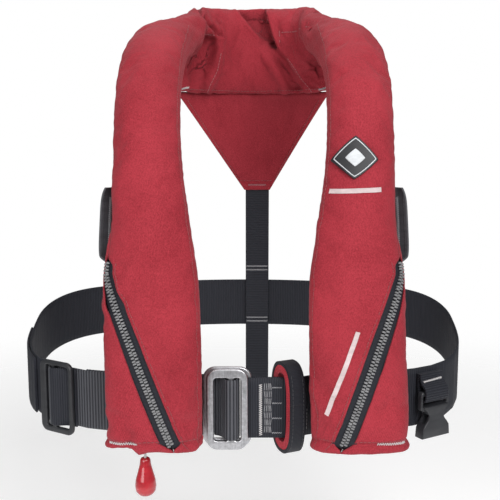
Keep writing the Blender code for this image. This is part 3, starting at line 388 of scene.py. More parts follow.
def cloth_mesh(name, grid, material, wrap=False):
    """A mesh object from a grid of points, its UVs in metres."""
    rows, columns = grid.shape[:2]
    return mesh_object(name, grid.reshape(-1, 3), grid_faces(rows, columns, wrap), material, grid_uv(grid))


def capped(name, grid, material, uv=None):
    """A closed tube from rings of points, its two ends filled."""
    rows, columns = grid.shape[:2]
    faces = grid_faces(rows, columns, wrap=True)
    faces.append(tuple(range(columns)))
    faces.append(tuple(range((rows - 1) * columns, rows * columns)))
    return mesh_object(name, grid.reshape(-1, 3), faces, material, uv)


def distances(points):
    """Distance along a polyline to each of its points."""
    return np.concatenate([[0], np.cumsum(np.linalg.norm(np.diff(points, axis=0), axis=1))])


def resample(path, step, rounds=6):
    """Even points along a polyline, its corners eased by a few rounds of averaging."""
    points = np.array([tuple(p) for p in path], float)
    lengths = distances(points)
    count = max(4, int(round(lengths[-1] / step)))
    at = np.linspace(0, lengths[-1], count + 1)
    even = np.stack([np.interp(at, lengths, points[:, k]) for k in range(3)], axis=1)
    for _ in range(rounds):
        even[1:-1] = 0.25 * even[:-2] + 0.5 * even[1:-1] + 0.25 * even[2:]
    return even


def band(name, path, across, width, material, thickness=0.0019, step=0.0016, rib=0.0, pitch=RIB,
         rounds=6, closed=False, ending=None):
    """Webbing: a soft-edged flat section swept along a path, with real ribs where rib is not 0.

    ending is (length, rib, pitch, material) where the last part of a run is woven differently.
    """
    wide = np.array(Vector(across).normalized())
    if closed:
        line = resample(list(path) + [path[0]], step, 0)[:-1]
        for _ in range(rounds):
            line = 0.25 * np.roll(line, 1, 0) + 0.5 * line + 0.25 * np.roll(line, -1, 0)
        along = np.roll(line, -1, 0) - np.roll(line, 1, 0)
    else:
        line = resample(path, step, rounds)
        along = np.gradient(line, axis=0)
    normal = np.cross(wide, along)
    normal /= np.linalg.norm(normal, axis=1)[:, None]
    lengths = distances(line)
    flat = 10 if width > 0.03 else 7
    spots = [(k / (flat - 1) * 2 - 1) * 0.965 for k in range(flat)]
    ring = [(u, -1.0) for u in spots] + [(1.0, 0.0)] + [(u, 1.0) for u in reversed(spots)] + [(-1.0, 0.0)]
    ripple = rib * np.cos(2 * math.pi * lengths / pitch)
    if ending:
        changed = lengths > lengths[-1] - ending[0]
        ripple[changed] = ending[1] * np.cos(2 * math.pi * lengths[changed] / ending[2])
    grid = np.zeros((len(line), len(ring), 3))
    for c, (u, n) in enumerate(ring):
        lift = n * (thickness / 2 + ripple * (1 - abs(u) ** 8))
        grid[:, c] = line + wide * (u * width / 2) + normal * lift[:, None]
    uv = [(u * width / 2, s) for s in lengths for u, _ in ring]
    faces = grid_faces(len(line), len(ring), wrap=True)
    if closed:
        last = (len(line) - 1) * len(ring)
        for c in range(len(ring)):
            n = (c + 1) % len(ring)
            faces.append((last + c, last + n, n, c))
    else:
        faces.append(tuple(reversed(range(len(ring)))))
        faces.append(tuple(range((len(line) - 1) * len(ring), len(line) * len(ring))))
    made = mesh_object(name, grid.reshape(-1, 3), faces, material, uv)
    if ending:
        made.data.materials.append(ending[3])
        for face in made.data.polygons:
            if changed[min(i // len(ring) for i in face.vertices)]:
                face.material_index = 1
    outward(made, 60)
    return made


def outward(item, crease=None):
    """Turn a closed mesh's faces outward, with edges sharper than crease degrees shown sharp."""
    shape = bmesh.new()
    shape.from_mesh(item.data)
    bmesh.ops.recalc_face_normals(shape, faces=shape.faces)
    shape.to_mesh(item.data)
    shape.free()
    if crease:
        item.data.set_sharp_from_angle(angle=math.radians(crease))


def frame_matrix(origin, x_axis, y_axis):
    """Placement whose local X and Y lie along two world directions."""
    x = Vector(x_axis).normalized()
    z = x.cross(Vector(y_axis)).normalized()
    turn = Matrix((x, z.cross(x), z)).transposed()
    return Matrix.Translation(Vector(origin)) @ turn.to_4x4()


def rounded_rectangle(left, right, low, high, radius, steps=8):
    outline = []
    for x, y, quarter in ((right - radius, high - radius, 0), (left + radius, high - radius, 1),
                          (left + radius, low + radius, 2), (right - radius, low + radius, 3)):
        for i in range(steps + 1):
            angle = math.pi / 2 * (quarter + i / steps)
            outline.append((x + radius * math.cos(angle), y + radius * math.sin(angle)))
    return outline


def plate(name, outline, holes, thickness, place, material, edge=0.001, steps=4):
    """A flat plate with holes and rounded edges, centred on its own XY plane."""
    curve = bpy.data.curves.new(name, "CURVE")
    curve.dimensions = "2D"
    curve.fill_mode = "BOTH"
    curve.extrude = thickness / 2 - edge
    curve.bevel_depth = edge
    curve.bevel_resolution = steps
    curve.offset = -edge
    for ring in [outline] + list(holes):
        spline = curve.splines.new("POLY")
        spline.points.add(len(ring) - 1)
        for spot, (x, y) in zip(spline.points, ring):
            spot.co = (x, y, 0, 1)
        spline.use_cyclic_u = True
    guide = linked(name + "_outline", curve)
    seen = bpy.context.evaluated_depsgraph_get()
    mesh = bpy.data.meshes.new_from_object(guide.evaluated_get(seen))
    bpy.data.objects.remove(guide, do_unlink=True)
    mesh.transform(place)
    shape = bmesh.new()
    shape.from_mesh(mesh)
    bmesh.ops.remove_doubles(shape, verts=shape.verts, dist=1e-6)
    bmesh.ops.recalc_face_normals(shape, faces=shape.faces)
    shape.to_mesh(mesh)
    shape.free()
    mesh.materials.clear()
    mesh.materials.append(material)
    mesh.shade_smooth()
    mesh.set_sharp_from_angle(angle=math.radians(35))
    return linked(name, mesh)


def tree_of(*items):
    """Search tree of the shown surface of some objects."""
    seen = bpy.context.evaluated_depsgraph_get()
    points, faces = [], []
    for item in items:
        mesh = bpy.data.meshes.new_from_object(item.evaluated_get(seen))
        base = len(points)
        points += [v.co.copy() for v in mesh.vertices]
        faces += [tuple(base + i for i in f.vertices) for f in mesh.polygons]
        bpy.data.meshes.remove(mesh)
    return BVHTree.FromPolygons(points, faces)


def laid(tree, path, look, step=0.0005):
    """Points of a path moved along look onto a surface, with the surface's normals."""
    direction = Vector(look).normalized()
    found = []
    for p in resample(path, step, 2):
        hit, normal, _, _ = tree.ray_cast(Vector(p) - direction * 0.15, direction)
        if hit is None:
            continue
        if normal.dot(direction) > 0:
            normal = -normal
        found.append((hit, normal))
    return found


def bars(name, places, material, width, height):
    """Threads lying on a surface: each place is (start, end, normal)."""
    points, faces = [], []
    for start, end, normal in places:
        along = (end - start)
        side = along.cross(normal).normalized() * (width / 2)
        up = normal * height
        base = len(points)
        rings = ((start, 0.25), (start + along * 0.18, 1.0), (end - along * 0.18, 1.0), (end, 0.25))
        for spot, share in rings:
            points += [spot - side * share, spot - side * 0.7 * share + up * share,
                       spot + side * 0.7 * share + up * share, spot + side * share]
        for r in range(3):
            for c in range(4):
                n = (c + 1) % 4
                faces.append((base + r * 4 + c, base + r * 4 + n, base + r * 4 + 4 + n, base + r * 4 + 4 + c))
        faces.append((base + 3, base + 2, base + 1, base))
        faces.append((base + 12, base + 13, base + 14, base + 15))
    made = mesh_object(name, points, faces, material)
    outward(made)
    return made


def sew(name, places, material, width, height, slot="red_fabric", body="jacket"):
    put(bars(name, places, material, width, height), body, slot)


def running(tree, path, pitch=0.0030, share=0.66, look=BACKWARD):
    """Running stitches along a path seen from the front."""
    return stitch_places(laid(tree, path, look), pitch, share)


def tacked(tree, path, half_width, pitch=0.0006, step=0.0002, look=BACKWARD):
    """Bartack threads along a path seen from the front."""
    return bartack_places(laid(tree, path, look, step), half_width, pitch)


def stitch_places(found, pitch=0.0030, share=0.66):
    """Running stitches along laid points."""
    places = []
    travelled, start = 0.0, None
    for (a, normal), (b, _) in zip(found, found[1:]):
        gap = (b - a).length
        if gap > 0.004:
            start = None
            travelled = 0.0
            continue
        phase = travelled % pitch
        if start is None and phase < gap + 1e-9:
            start = (a, normal)
        if start is not None and phase >= pitch * share:
            places.append((start[0], b, start[1]))
            start = None
        travelled += gap
    return places


def bartack_places(found, half_width, pitch):
    """Dense zigzag threads across laid points."""
    places = []
    travelled, last, flip = 0.0, None, 1
    for (a, normal), (b, _) in zip(found, found[1:]):
        travelled += (b - a).length
        if last is not None and travelled - last < pitch:
            continue
        last = travelled
        side = (b - a).normalized().cross(normal) * half_width
        lean = (b - a).normalized() * pitch * 0.5
        places.append((a - side * flip - lean, a + side * flip + lean, normal))
        flip = -flip
    return places


# ------------------------------------------------------------------ the swept section
def station(t):
    """Station values at a fractional station number, on a smooth curve through all of them."""
    rows = [(*s[:5], *s[5]) for s in STATIONS]
    mirrored = list(rows[-2])
    mirrored[0] = -mirrored[0]
    mirrored[5] = -mirrored[5]
    ends = rows + [tuple(mirrored)]
    low = max(0, min(int(t), len(rows) - 2))
    u = t - low
    four = (rows[max(low - 1, 0)], ends[low], ends[low + 1], ends[min(low + 2, len(ends) - 1)])
    return [0.5 * (2 * b + (c - a) * u + (2 * a - 5 * b + 4 * c - d) * u ** 2
                   + (3 * b - a - 3 * c + d) * u ** 3) for a, b, c, d in zip(*four)]


def lobe_frame(t, side):
    """Centre, width direction, outward direction, half width and half thickness at station t."""
    here = station(t)
    ahead = station(min(t + 0.05, T_END))
    behind = station(max(t - 0.05, 0))
    along = (Vector(ahead[:3]) - Vector(behind[:3])).normalized()
    wide = Vector(here[5:8])
    wide = (wide - along * wide.dot(along)).normalized()
    out = along.cross(wide)
    centre = Vector(here[:3])
    if side > 0:
        centre.x = -centre.x + SPLAY * max(0.0, min(1.0, (-0.15 - centre.z) / 0.13))
        wide.x = -wide.x
        out.x = -out.x
    return centre, wide, out, here[3], here[4]


def section_point(place, angle, inset=0.0):
    centre, wide, out, half_width, half_thick = place
    c, s = math.cos(angle), math.sin(angle)
    across = math.copysign(abs(c) ** (2 / SECTION_POWER), c) * (half_width - inset)
    depth = math.copysign(abs(s) ** (2 / SECTION_POWER), s) * (half_thick - inset)
    return centre + wide * across + out * depth


def walk(place, angle, distance):
    """Angle reached after going a distance around the section."""
    piece = distance / 16
    here = section_point(place, angle)
    for _ in range(16):
        turn = 0.01 if piece > 0 else -0.01
        speed = (section_point(place, angle + turn) - here).length / 0.01
        angle += piece / max(speed, 0.004)
        here = section_point(place, angle)
    return angle


def zip_angle(place):
    height = place[0].z
    share = max(-0.45, min(0.92, -0.43 + 1.38 * (height + 0.280) / 0.137))
    c = math.copysign(abs(share) ** (SECTION_POWER / 2), share)
    rise = max(0.0, min(1.0, (height - ZIP_TOP_Z) / 0.060))
    return math.acos(c) * (1 - rise)


def zip_gap(place):
    fade = max(0.0, min(1.0, (ZIP_TOP_Z + ZIP_FADE - place[0].z) / ZIP_FADE))
    return GAP + (ZIP_HALF - GAP) * fade


def even_stations(first, last, step):
    """Station numbers a steady distance apart along the lobe's centre line."""
    dense = np.linspace(first, last, 400)
    centres = np.array([station(t)[:3] for t in dense])
    lengths = distances(centres)
    count = int(round(lengths[-1] / step))
    return np.interp(np.linspace(0, lengths[-1], count + 1), lengths, dense)


def arc(place, start, end, count, inset=0.0):
    """Points a steady distance apart around the section, from one angle to another."""
    angles = np.linspace(start, end, 90)
    spots = np.array([section_point(place, a, inset) for a in angles])
    lengths = distances(spots)
    at = np.linspace(0, lengths[-1], count + 1)
    return [section_point(place, a, inset) for a in np.interp(at, lengths, angles)]


def ease(value, low, high):
    """Smooth step from 0 at low to 1 at high."""
    u = min(1.0, max(0.0, (value - low) / (high - low)))
    return u * u * (3 - 2 * u)


# ------------------------------------------------------------------ cloth
def settle(item, held, cap, pressure, slack, frames=16, bending=0.4, seed=1):
    """Cloth simulation under light pressure with spare cloth; no point goes further than cap."""
    start = np.array([v.co for v in item.data.vertices])
    shake = np.random.default_rng(seed)
    normals = np.array([v.normal for v in item.data.vertices])
    free = 1.0 - np.array(held)
    rough = start + normals * (shake.normal(0, 0.00025, len(start)) * free)[:, None]
    item.data.vertices.foreach_set("co", rough.ravel())
    group = item.vertex_groups.new(name="held")
    for i, weight in enumerate(held):
        if weight > 0:
            group.add([i], float(weight), "REPLACE")
    cloth = item.modifiers.new("cloth", "CLOTH")
    rules = cloth.settings
    rules.quality = 6
    rules.mass = 0.12
    rules.tension_stiffness = 25
    rules.compression_stiffness = 25
    rules.shear_stiffness = 12
    rules.bending_stiffness = bending
    rules.air_damping = 2
    rules.use_pressure = True
    rules.uniform_pressure_force = pressure
    rules.shrink_min = -slack
    rules.vertex_group_mass = "held"
    rules.effector_weights.gravity = 0
    cloth.point_cache.frame_start = 1
    cloth.point_cache.frame_end = frames
    scene = bpy.context.scene
    for number in range(1, frames + 1):
        scene.frame_set(number)
    seen = bpy.context.evaluated_depsgraph_get()
    posed = item.evaluated_get(seen).to_mesh()
    found = np.array([v.co for v in posed.vertices])
    item.evaluated_get(seen).to_mesh_clear()
    item.modifiers.remove(cloth)
    scene.frame_set(1)
    moved = found - start
    reach = np.linalg.norm(moved, axis=1)
    limit = cap * np.tanh(reach / cap) / np.maximum(reach, 1e-9)
    item.data.vertices.foreach_set("co", (start + moved * limit[:, None]).ravel())
    item.data.update()


def displaced(item, place):
    """Move each vertex to place(point, normal)."""
    moved = [place(v.co.copy(), v.normal.copy()) for v in item.data.vertices]
    for v, p in zip(item.data.vertices, moved):
        v.co = p
    item.data.update()


def walled(item, thickness, offset=0):
    """Give a sheet its thickness: both ways, or inward from its shown face where offset is -1."""
    wall = item.modifiers.new("wall", "SOLIDIFY")
    wall.thickness = thickness
    wall.offset = offset


def put(piece, body, slot, *nodes):
    """Ride on a body and stand for CAD nodes; slot is not used."""
    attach(piece, body)
    if nodes:
        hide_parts(*nodes)
    return piece


def baked(item, levels=1):
    """Apply one subdivision, so that later shaping works on the finer mesh."""
    smooth = item.modifiers.new("smooth", "SUBSURF")
    smooth.levels = levels
    seen = bpy.context.evaluated_depsgraph_get()
    mesh = bpy.data.meshes.new_from_object(item.evaluated_get(seen))
    item.modifiers.clear()
    item.vertex_groups.clear()
    item.data = mesh
    mesh.shade_smooth()


def point_out(item, grid, middle=None):
    """Flip an open tube's faces if they look at its middle, judged by its middle row."""
    rows, columns = grid.shape[:2]
    row = rows // 2
    middle = middle or Vector(grid[row].mean(axis=0))
    judged = item.data.vertices[row * columns:(row + 1) * columns]
    if sum((v.co - middle).dot(v.normal) for v in judged) < 0:
        item.data.flip_normals()


# ------------------------------------------------------------------ padded lobes
FOOT_HEM = ((-1.0, 0.0055), (-0.50, 0.0082), (-0.28, 0.0036), (0.0, 0.0050), (0.85, 0.0030), (1.0, 0.0100))
LOBE_FRONT, LOBE_BACK = 26, 28    # columns of cloth on a lobe's front and back


def foot_lift(place, point, side):
    """How far the bottom hem rises at a point around the foot of a lobe."""
    centre, wide, out, half_width, _ = place
    if (point - centre).dot(out) < 0:
        return 0.0
    share = -(point - centre).dot(wide) / half_width
    shares, lifts = zip(*FOOT_HEM)
    lift = float(np.interp(share, shares, lifts))
    return lift if side < 0 else 0.35 * lift


def slit(place):
    """Half the width of the cover's opening for the zip; it closes at both ends of the teeth."""
    height = place[0].z
    share = ease(height, ZIP_FOOT_Z - 0.0030, ZIP_FOOT_Z + 0.0005) * ease(-height, 0.1352, 0.1372)
    return GAP / 2 + (zip_gap(place) - GAP / 2) * share


def lobe_row(t, side):
    place = lobe_frame(t, side)
    start = walk(place, zip_angle(place), slit(place))
    finish = walk(place, zip_angle(place), -slit(place)) + 2 * math.pi
    row = arc(place, start, math.pi, LOBE_FRONT)[:-1] + arc(place, math.pi, finish, LOBE_BACK)
    swell = 1 + 0.045 * ease(t, 10.05, 10.3)
    if swell > 1:
        row = [place[0] + (p - place[0]) * swell for p in row]
    fade = 1 - ease(t, 0.0, 0.9)
    if fade > 0:
        row = [p + Vector((0, 0, fade * foot_lift(place, p, side))) for p in row]
    return row


def make_lobe(side, word, red):
    """One padded lobe: swept cover with its foot turned under, settled as cloth, seams kept in."""
    rows = [lobe_row(t, side) for t in even_stations(0.0, T_SHOULDER, CLOTH_STEP)]
    centre = lobe_frame(0.0, side)[0]
    base = []
    for shrink, lift in ((0.05, 0.0065), (0.45, 0.0060), (0.80, 0.0040), (0.93, 0.0012), (0.985, -0.0004)):
        base.append([Vector((centre.x + (p.x - centre.x) * shrink, centre.y + (p.y - centre.y) * shrink,
                             p.z + lift)) for p in rows[0]])
    grid = np.array([[tuple(p) for p in row] for row in base + rows])
    count, columns = grid.shape[:2]
    cover = cloth_mesh("cover_" + word, grid, red)
    point_out(cover, grid)
    held = np.zeros((count, columns))
    held[:len(base) + 1] = 1.0
    held[len(base) + 1] = 0.6
    held[-3:] = 1.0
    held[:, 0] = held[:, -1] = 1.0
    held[:, 1] = np.maximum(held[:, 1], 0.25)
    held[:, -2] = np.maximum(held[:, -2], 0.25)
    held[:, LOBE_FRONT] = 1.0
    for away, weight in ((1, 0.8), (2, 0.5), (3, 0.25)):
        for column in (LOBE_FRONT - away, LOBE_FRONT + away):
            held[:, column] = np.maximum(held[:, column], weight)
    settle(cover, held.ravel(), 0.0038, 2.0, 0.022, seed=3 if side < 0 else 8)
    pinch_seam(cover, columns, LOBE_FRONT, 0.0010)
    baked(cover)
    displaced(cover, lambda p, n: lobe_crease(p, n, side))
    walled(cover, COVER_WALL, -1)
    put(cover, "jacket", "red_fabric", "cover_front_" + word, "cover_back_" + word)
    return cover


def pinch_seam(item, columns, column, depth, beside=0.35):
    """Draw one column of vertices in, as a row of stitches does, and its neighbours by a share of that."""
    vertices = item.data.vertices
    normals = [v.normal.copy() for v in vertices]
    for i in range(column, len(vertices), columns):
        vertices[i].co -= normals[i] * depth
        vertices[i - 1].co -= normals[i - 1] * (depth * beside)
        vertices[i + 1].co -= normals[i + 1] * (depth * beside)
    item.data.update()


def line_distance(x, z, points):
    """Signed distance from a polyline in the XZ plane, positive on its right as seen from the front."""
    best, sign = 1e9, 1.0
    for (ax, az), (bx, bz) in zip(points, points[1:]):
        dx, dz = bx - ax, bz - az
        share = max(0.0, min(1.0, ((x - ax) * dx + (z - az) * dz) / (dx * dx + dz * dz)))
        gap = math.hypot(x - ax - share * dx, z - az - share * dz)
        if gap < best:
            best = gap
            sign = 1.0 if dz * (x - ax) - dx * (z - az) > 0 else -1.0
    return best * sign


RIGHT_CREASES = (                 # polyline, height and half width of soft creases, wearer's right lobe
    (((-0.112, -0.170), (-0.098, -0.150), (-0.078, -0.118)), 0.0016, 0.0050),
    (((-0.105, -0.176), (-0.090, -0.158), (-0.074, -0.136)), -0.0012, 0.0040),
    (((-0.112, -0.090), (-0.098, -0.070), (-0.092, -0.040)), 0.0010, 0.0060),
    (((-0.089, -0.262), (-0.087, -0.286)), 0.0014, 0.0028),
    (((-0.096, -0.266), (-0.095, -0.282)), -0.0020, 0.0036),
    (((-0.052, -0.250), (-0.060, -0.225), (-0.078, -0.205)), 0.0010, 0.0050),
    (((-0.114, -0.264), (-0.106, -0.252), (-0.100, -0.256)), -0.0014, 0.0050),
)
LEFT_CREASES = (
    (((0.050, -0.110), (0.072, -0.128), (0.100, -0.120)), 0.0008, 0.0060),
    (((0.046, -0.235), (0.058, -0.215), (0.066, -0.190)), 0.0011, 0.0050),
    (((0.095, -0.205), (0.104, -0.225), (0.112, -0.232)), 0.0010, 0.0040),
    (((0.098, -0.250), (0.106, -0.238), (0.114, -0.246)), -0.0014, 0.0050),
    (((0.060, 0.020), (0.078, 0.004), (0.096, -0.002)), 0.0010, 0.0050),
)


def lobe_crease(point, normal, side):
    """Soft creases in a lobe's front, and gathers where it meets the collar."""
    shift = 0.0
    if normal.y < 0.1:
        for line, height, width in (RIGHT_CREASES if side < 0 else LEFT_CREASES):
            gap = line_distance(point.x, point.z, line) / width
            if abs(gap) < 3:
                shift += height * math.exp(-gap * gap)
    if normal.y < 0.3:
        shift += 0.0022 * math.exp(-((point.z - FOOT_LIP_Z) / 0.0026) ** 2)
        shift -= 0.0016 * math.exp(-((point.z - FOOT_LIP_Z - 0.0062) / 0.0016) ** 2)
    gather = ease(point.y, -0.045, 0.020)
    if gather > 0:
        centre = Vector((side * 0.078, 0, 0.040))
        turn = math.atan2(point.z - centre.z, side * (centre.x - point.x))
        shift += 0.0009 * gather * math.sin(9 * turn + 2.2 * math.sin(60 * point.y))
    return point + normal * shift


# ------------------------------------------------------------------ collar
COLLAR_COLUMNS = 76
PANEL_EDGE = ((-0.0335, 0.0640), (-0.0335, 0.0400), (-0.0375, 0.0220), (-0.0444, 0.0089), (-0.0480, -0.0020))
LAPEL_EDGE = ((-0.0165, 0.0820), (-0.0020, 0.0640), (0.0150, 0.0455), (0.0220, 0.0400))
FLAP_EDGE = ((0.0140, 0.0740), (0.0190, 0.0560), (0.0236, 0.0425), (0.0315, 0.0330), (0.0460, 0.0140),
             (0.0560, 0.0000))
TAIL_EDGES = (                    # where each lobe's tail folds over the collar
    ((-0.0590, 0.0860), (-0.0520, 0.0790), (-0.0440, 0.0660), (-0.0330, 0.0550)),
    ((0.0640, 0.0830), (0.0600, 0.0720), (0.0560, 0.0620), (0.0600, 0.0400)),
)
VALLEY = ((0.0120, 0.0500), (0.0240, 0.0360), (0.0360, 0.0170), (0.0440, -0.0010))


def collar_shift(point, normal):
    """Panels, pockets and folds on the side of the collar that faces the neck."""
    inward = Vector((-point.x, -point.y, 0)).normalized()
    x, z = point.x, point.z
    inner = ease(normal.dot(inward), -0.30, 0.10)
    fold = 0.0
    for line in TAIL_EDGES:
        gap = abs(line_distance(x, z, line))
        fold += 0.0010 * math.exp(-((gap - 0.0040) / 0.0022) ** 2) - 0.0034 * math.exp(-(gap / 0.0015) ** 2)
    point = point + normal * (fold * inner)
    facing = ease(normal.dot(inward), 0.05, 0.55)
    if facing <= 0:
        return point
    shift = 0.0
    panel = line_distance(x, z, PANEL_EDGE)
    shift -= 0.0095 * ease(panel, 0.0, 0.0045) * ease(0.056 - z, 0.0, 0.006) * ease(z, 0.000, 0.020)
    shift += 0.0024 * math.exp(-((panel + 0.0030) / 0.0035) ** 2)
    lapel = line_distance(x, z, LAPEL_EDGE)
    flap = line_distance(x, z, FLAP_EDGE)
    wedge = ease(-lapel, -0.0006, 0.0030) * ease(flap, -0.0006, 0.0040) * ease(z, 0.040, 0.047)
    shift -= 0.0100 * wedge
    shift += 0.0018 * math.exp(-((lapel - 0.0020) / 0.0028) ** 2) * ease(z, 0.034, 0.044)
    shift += 0.0026 * math.exp(-((flap + 0.0022) / 0.0030) ** 2)
    valley = line_distance(x, z, VALLEY)
    shift -= 0.0055 * math.exp(-(valley / 0.0050) ** 2)
    shift += 0.0028 * math.exp(-((valley - 0.0085) / 0.0060) ** 2) * ease(0.055 - z, 0.0, 0.01)
    pocket = ease(x, 0.040, 0.056) * ease(0.052 - z, 0.0, 0.008) * ease(z, 0.000, 0.020)
    shift -= 0.0160 * pocket
    ends = ease(abs(x), 0.043, 0.056) * ease(z, 0.020, 0.045) * ease(0.075 - z, 0.0, 0.02)
    shift += 0.0030 * ends * math.sin(math.copysign(900, x) * x - 620 * z + 1.5 * math.sin(300 * z))
    shift += 0.0007 * math.sin(260 * x + 90 * z) * math.sin(170 * z - 120 * x)
    return point + normal * (shift * facing)


def make_collar(red):
    """The padded collar: one tube from shoulder to shoulder, folded on its inner side."""
    right = even_stations(T_COLLAR, T_END, 0.0027)
    stations = [(t, -1) for t in right] + [(t, 1) for t in right[-2::-1]]
    grid = []
    for t, side in stations:
        place = lobe_frame(t, side)
        tuck = 0.0022 * (1 - ease(t, 10.1, 10.7))
        grid.append([tuple(p) for p in arc(place, 0.0, 2 * math.pi, COLLAR_COLUMNS, tuck)[:-1]])
    grid = np.array(grid)
    count = len(grid)
    collar = cloth_mesh("collar", grid, red, wrap=True)
    point_out(collar, grid)
    held = np.zeros((count, COLLAR_COLUMNS))
    held[:6] = held[-6:] = 1.0
    held[:, 0] = 0.9
    held[:, [1, -1]] = np.maximum(held[:, [1, -1]], 0.3)
    settle(collar, held.ravel(), 0.0040, 2.2, 0.05, seed=21)
    pinch_seam(collar, COLLAR_COLUMNS, 0, 0.0010, 0.0)
    baked(collar)
    displaced(collar, collar_shift)
    walled(collar, COVER_WALL, -1)
    put(collar, "jacket", "red_fabric", "collar_inner", "collar_outer")
    return collar


# ------------------------------------------------------------------ zips
def zip_line(side):
    """Points down the middle of a zip with their outward and across directions."""
    places = []
    for t in even_stations(1.02, T_ZIP_TOP, 0.0006):
        place = lobe_frame(t, side)
        angle = zip_angle(place)
        spot = section_point(place, angle)
        across = section_point(place, angle + 0.02) - section_point(place, angle - 0.02)
        places.append((place, angle, spot, across.normalized()))
    return places


def make_tapes(side, word, cloth):
    """The zip's two woven tapes, tucked under the covers' edges."""
    stations = even_stations(0.80, T_ZIP_TOP, 0.0015)
    for part, sign in (("front", 1), ("back", -1)):
        grid = []
        for t in stations:
            place = lobe_frame(t, side)
            first = walk(place, zip_angle(place), sign * 0.0004)
            last = walk(place, zip_angle(place), sign * (zip_gap(place) + 0.0020))
            grid.append([tuple(p) for p in arc(place, first, last, 10, 0.0013)])
        grid = np.array(grid)
        name = "zip_tape_" + part + "_" + word
        tape = cloth_mesh(name, grid, cloth)
        point_out(tape, grid, lobe_frame(2.0, side)[0])
        walled(tape, 0.0008, -1)
        put(tape, "jacket", "zip_tape", name)


def tooth_shape():
    """Corners and faces of one moulded tooth: a rounded head on a narrower foot."""
    shape = bmesh.new()
    bmesh.ops.create_cube(shape, size=1.0)
    bmesh.ops.scale(shape, vec=(0.0027, 0.00145, 0.0020), verts=shape.verts)
    bmesh.ops.bevel(shape, geom=list(shape.edges), offset=0.00034, segments=2, affect="EDGES", profile=0.5)
    for v in shape.verts:
        v.co.y *= 1.0 + 0.25 * ease(v.co.x, 0.0, 0.0012) - 0.15 * ease(v.co.z, 0.0, 0.0008)
    points = np.array([v.co for v in shape.verts])
    faces = [[v.index for v in f.verts] for f in shape.faces]
    shape.free()
    return points, faces


def make_teeth(side, word, material):
    """Two rows of teeth that mesh down the middle of the zip."""
    shape, shape_faces = tooth_shape()
    line = zip_line(side)
    spots = np.array([tuple(p[2]) for p in line])
    lengths = distances(spots)
    points, faces = [], []
    for k in range(int(lengths[-1] / (TEETH_PITCH / 2))):
        i = int(np.searchsorted(lengths, k * TEETH_PITCH / 2))
        place, _, spot, across = line[i]
        along = (line[min(i + 3, len(line) - 1)][2] - line[max(i - 3, 0)][2]).normalized()
        out = across.cross(along).normalized()
        if out.dot(spot - place[0]) < 0:
            out = -out
        hand = 1 if k % 2 else -1
        side_way = (along.cross(out)).normalized() * hand
        turn = np.array([tuple(-side_way), tuple(along), tuple(out)]).T
        centre = np.array(spot + side_way * 0.00145 - out * 0.00025)
        base = len(points)
        points += list(shape @ turn.T + centre)
        faces += [[base + n for n in f] for f in shape_faces]
    teeth = mesh_object("zip_teeth_" + word, points, faces, material)
    outward(teeth)
    put(teeth, "jacket", "zip_teeth", "zip_teeth_" + word)


# ------------------------------------------------------------------ yoke, tabs and channels
def yoke_point(u, v):
    """Point of the yoke; u runs from -1 to 1 across it and v from 0 at the top to 1 at its foot."""
    half = 0.0735 + (0.0135 - 0.0735) * max(v, 0.0)
    x = half * u
    top_y = 0.0815 - 0.024 * (x / 0.0735) ** 2
    y = top_y + (0.1135 - top_y) * max(v, 0.0) ** 0.8
    return Vector((x + 0.0045 * v, y, YOKE_TOP + (YOKE_FOOT - YOKE_TOP) * v))


def make_yoke(red):
    """Back yoke: one hemmed sheet with soft pleats under the nape seam."""
    rows, columns = 90, 72
    grid = np.zeros((rows + 1, columns + 1, 3))
    for r in range(rows + 1):
        v = -0.03 + 1.03 * r / rows
        for c in range(columns + 1):
            u = 2 * c / columns - 1
            p = yoke_point(u, v)
            fade = math.exp(-max(v, 0) / 0.20) * (1 - abs(u) ** 4)
            pleats = 0.0016 * math.sin(11 * u + 5 * u * u + 1.2) + 0.0006 * math.sin(29 * u - 9 * u * u)
            p.y += fade * pleats
            p.y += 0.0050 * math.sin(2.6 * u + 0.7) * math.sin(math.pi * max(v, 0) ** 0.7) * (1 - abs(u) ** 3)
            hem = max(ease(abs(u), 0.90, 0.93), ease(v, 0.905, 0.92))
            p.y -= 0.0005 * hem
            grid[r, c] = p
    yoke = cloth_mesh("yoke", grid, red)
    walled(yoke, 0.0016)
    put(yoke, "jacket", "red_fabric", "back_yoke")
    return yoke


def make_tab(side, word, rubber):
    """Moulded rubber side tab with a raised border."""
    rows, columns = 60, 24
    grid = np.zeros((rows + 1, columns + 1, 3))
    route = ((0.0920, 0.0230), (0.1020, 0.0225), (0.1085, 0.0204), (0.1138, 0.0166), (0.1188, 0.0115))
    for r in range(rows + 1):
        v = r / rows
        centre = lobe_frame(T_TAB_TOP - 1.45 * v, -1)[0]
        trim = 0.0030 * abs(2 * v - 1) ** 6 + 0.0050 * ease(v, 0.90, 1.0)
        ends = route[:-1] + ((0.1192 + 0.0020 * v - trim, 0.0110),)
        line = resample([(side * x, centre.y + y, centre.z) for x, y in ends], 0.001, 3)
        at = np.linspace(0, len(line) - 1, columns + 1)
        for c in range(columns + 1):
            u = c / columns
            spot = np.array([np.interp(at[c], range(len(line)), line[:, k]) for k in range(3)])
            border = max(ease(u, 0.90, 0.93), ease(abs(2 * v - 1), 0.93, 0.96))
            groove = ease(u, 0.84, 0.86) * (1 - ease(u, 0.90, 0.92))
            spot += np.array((side * 0.7, -0.7, 0)) * (0.0005 * border - 0.0004 * groove)
            grid[r, c] = spot
    tab = cloth_mesh("side_tab_" + word, grid, rubber)
    walled(tab, 0.0018)
    rim = tab.modifiers.new("rim", "BEVEL")
    rim.width = 0.0005
    rim.segments = 3
    rim.angle_limit = math.radians(50)
    put(tab, "jacket", "tab_rubber", "side_tab_" + word)
    return tab


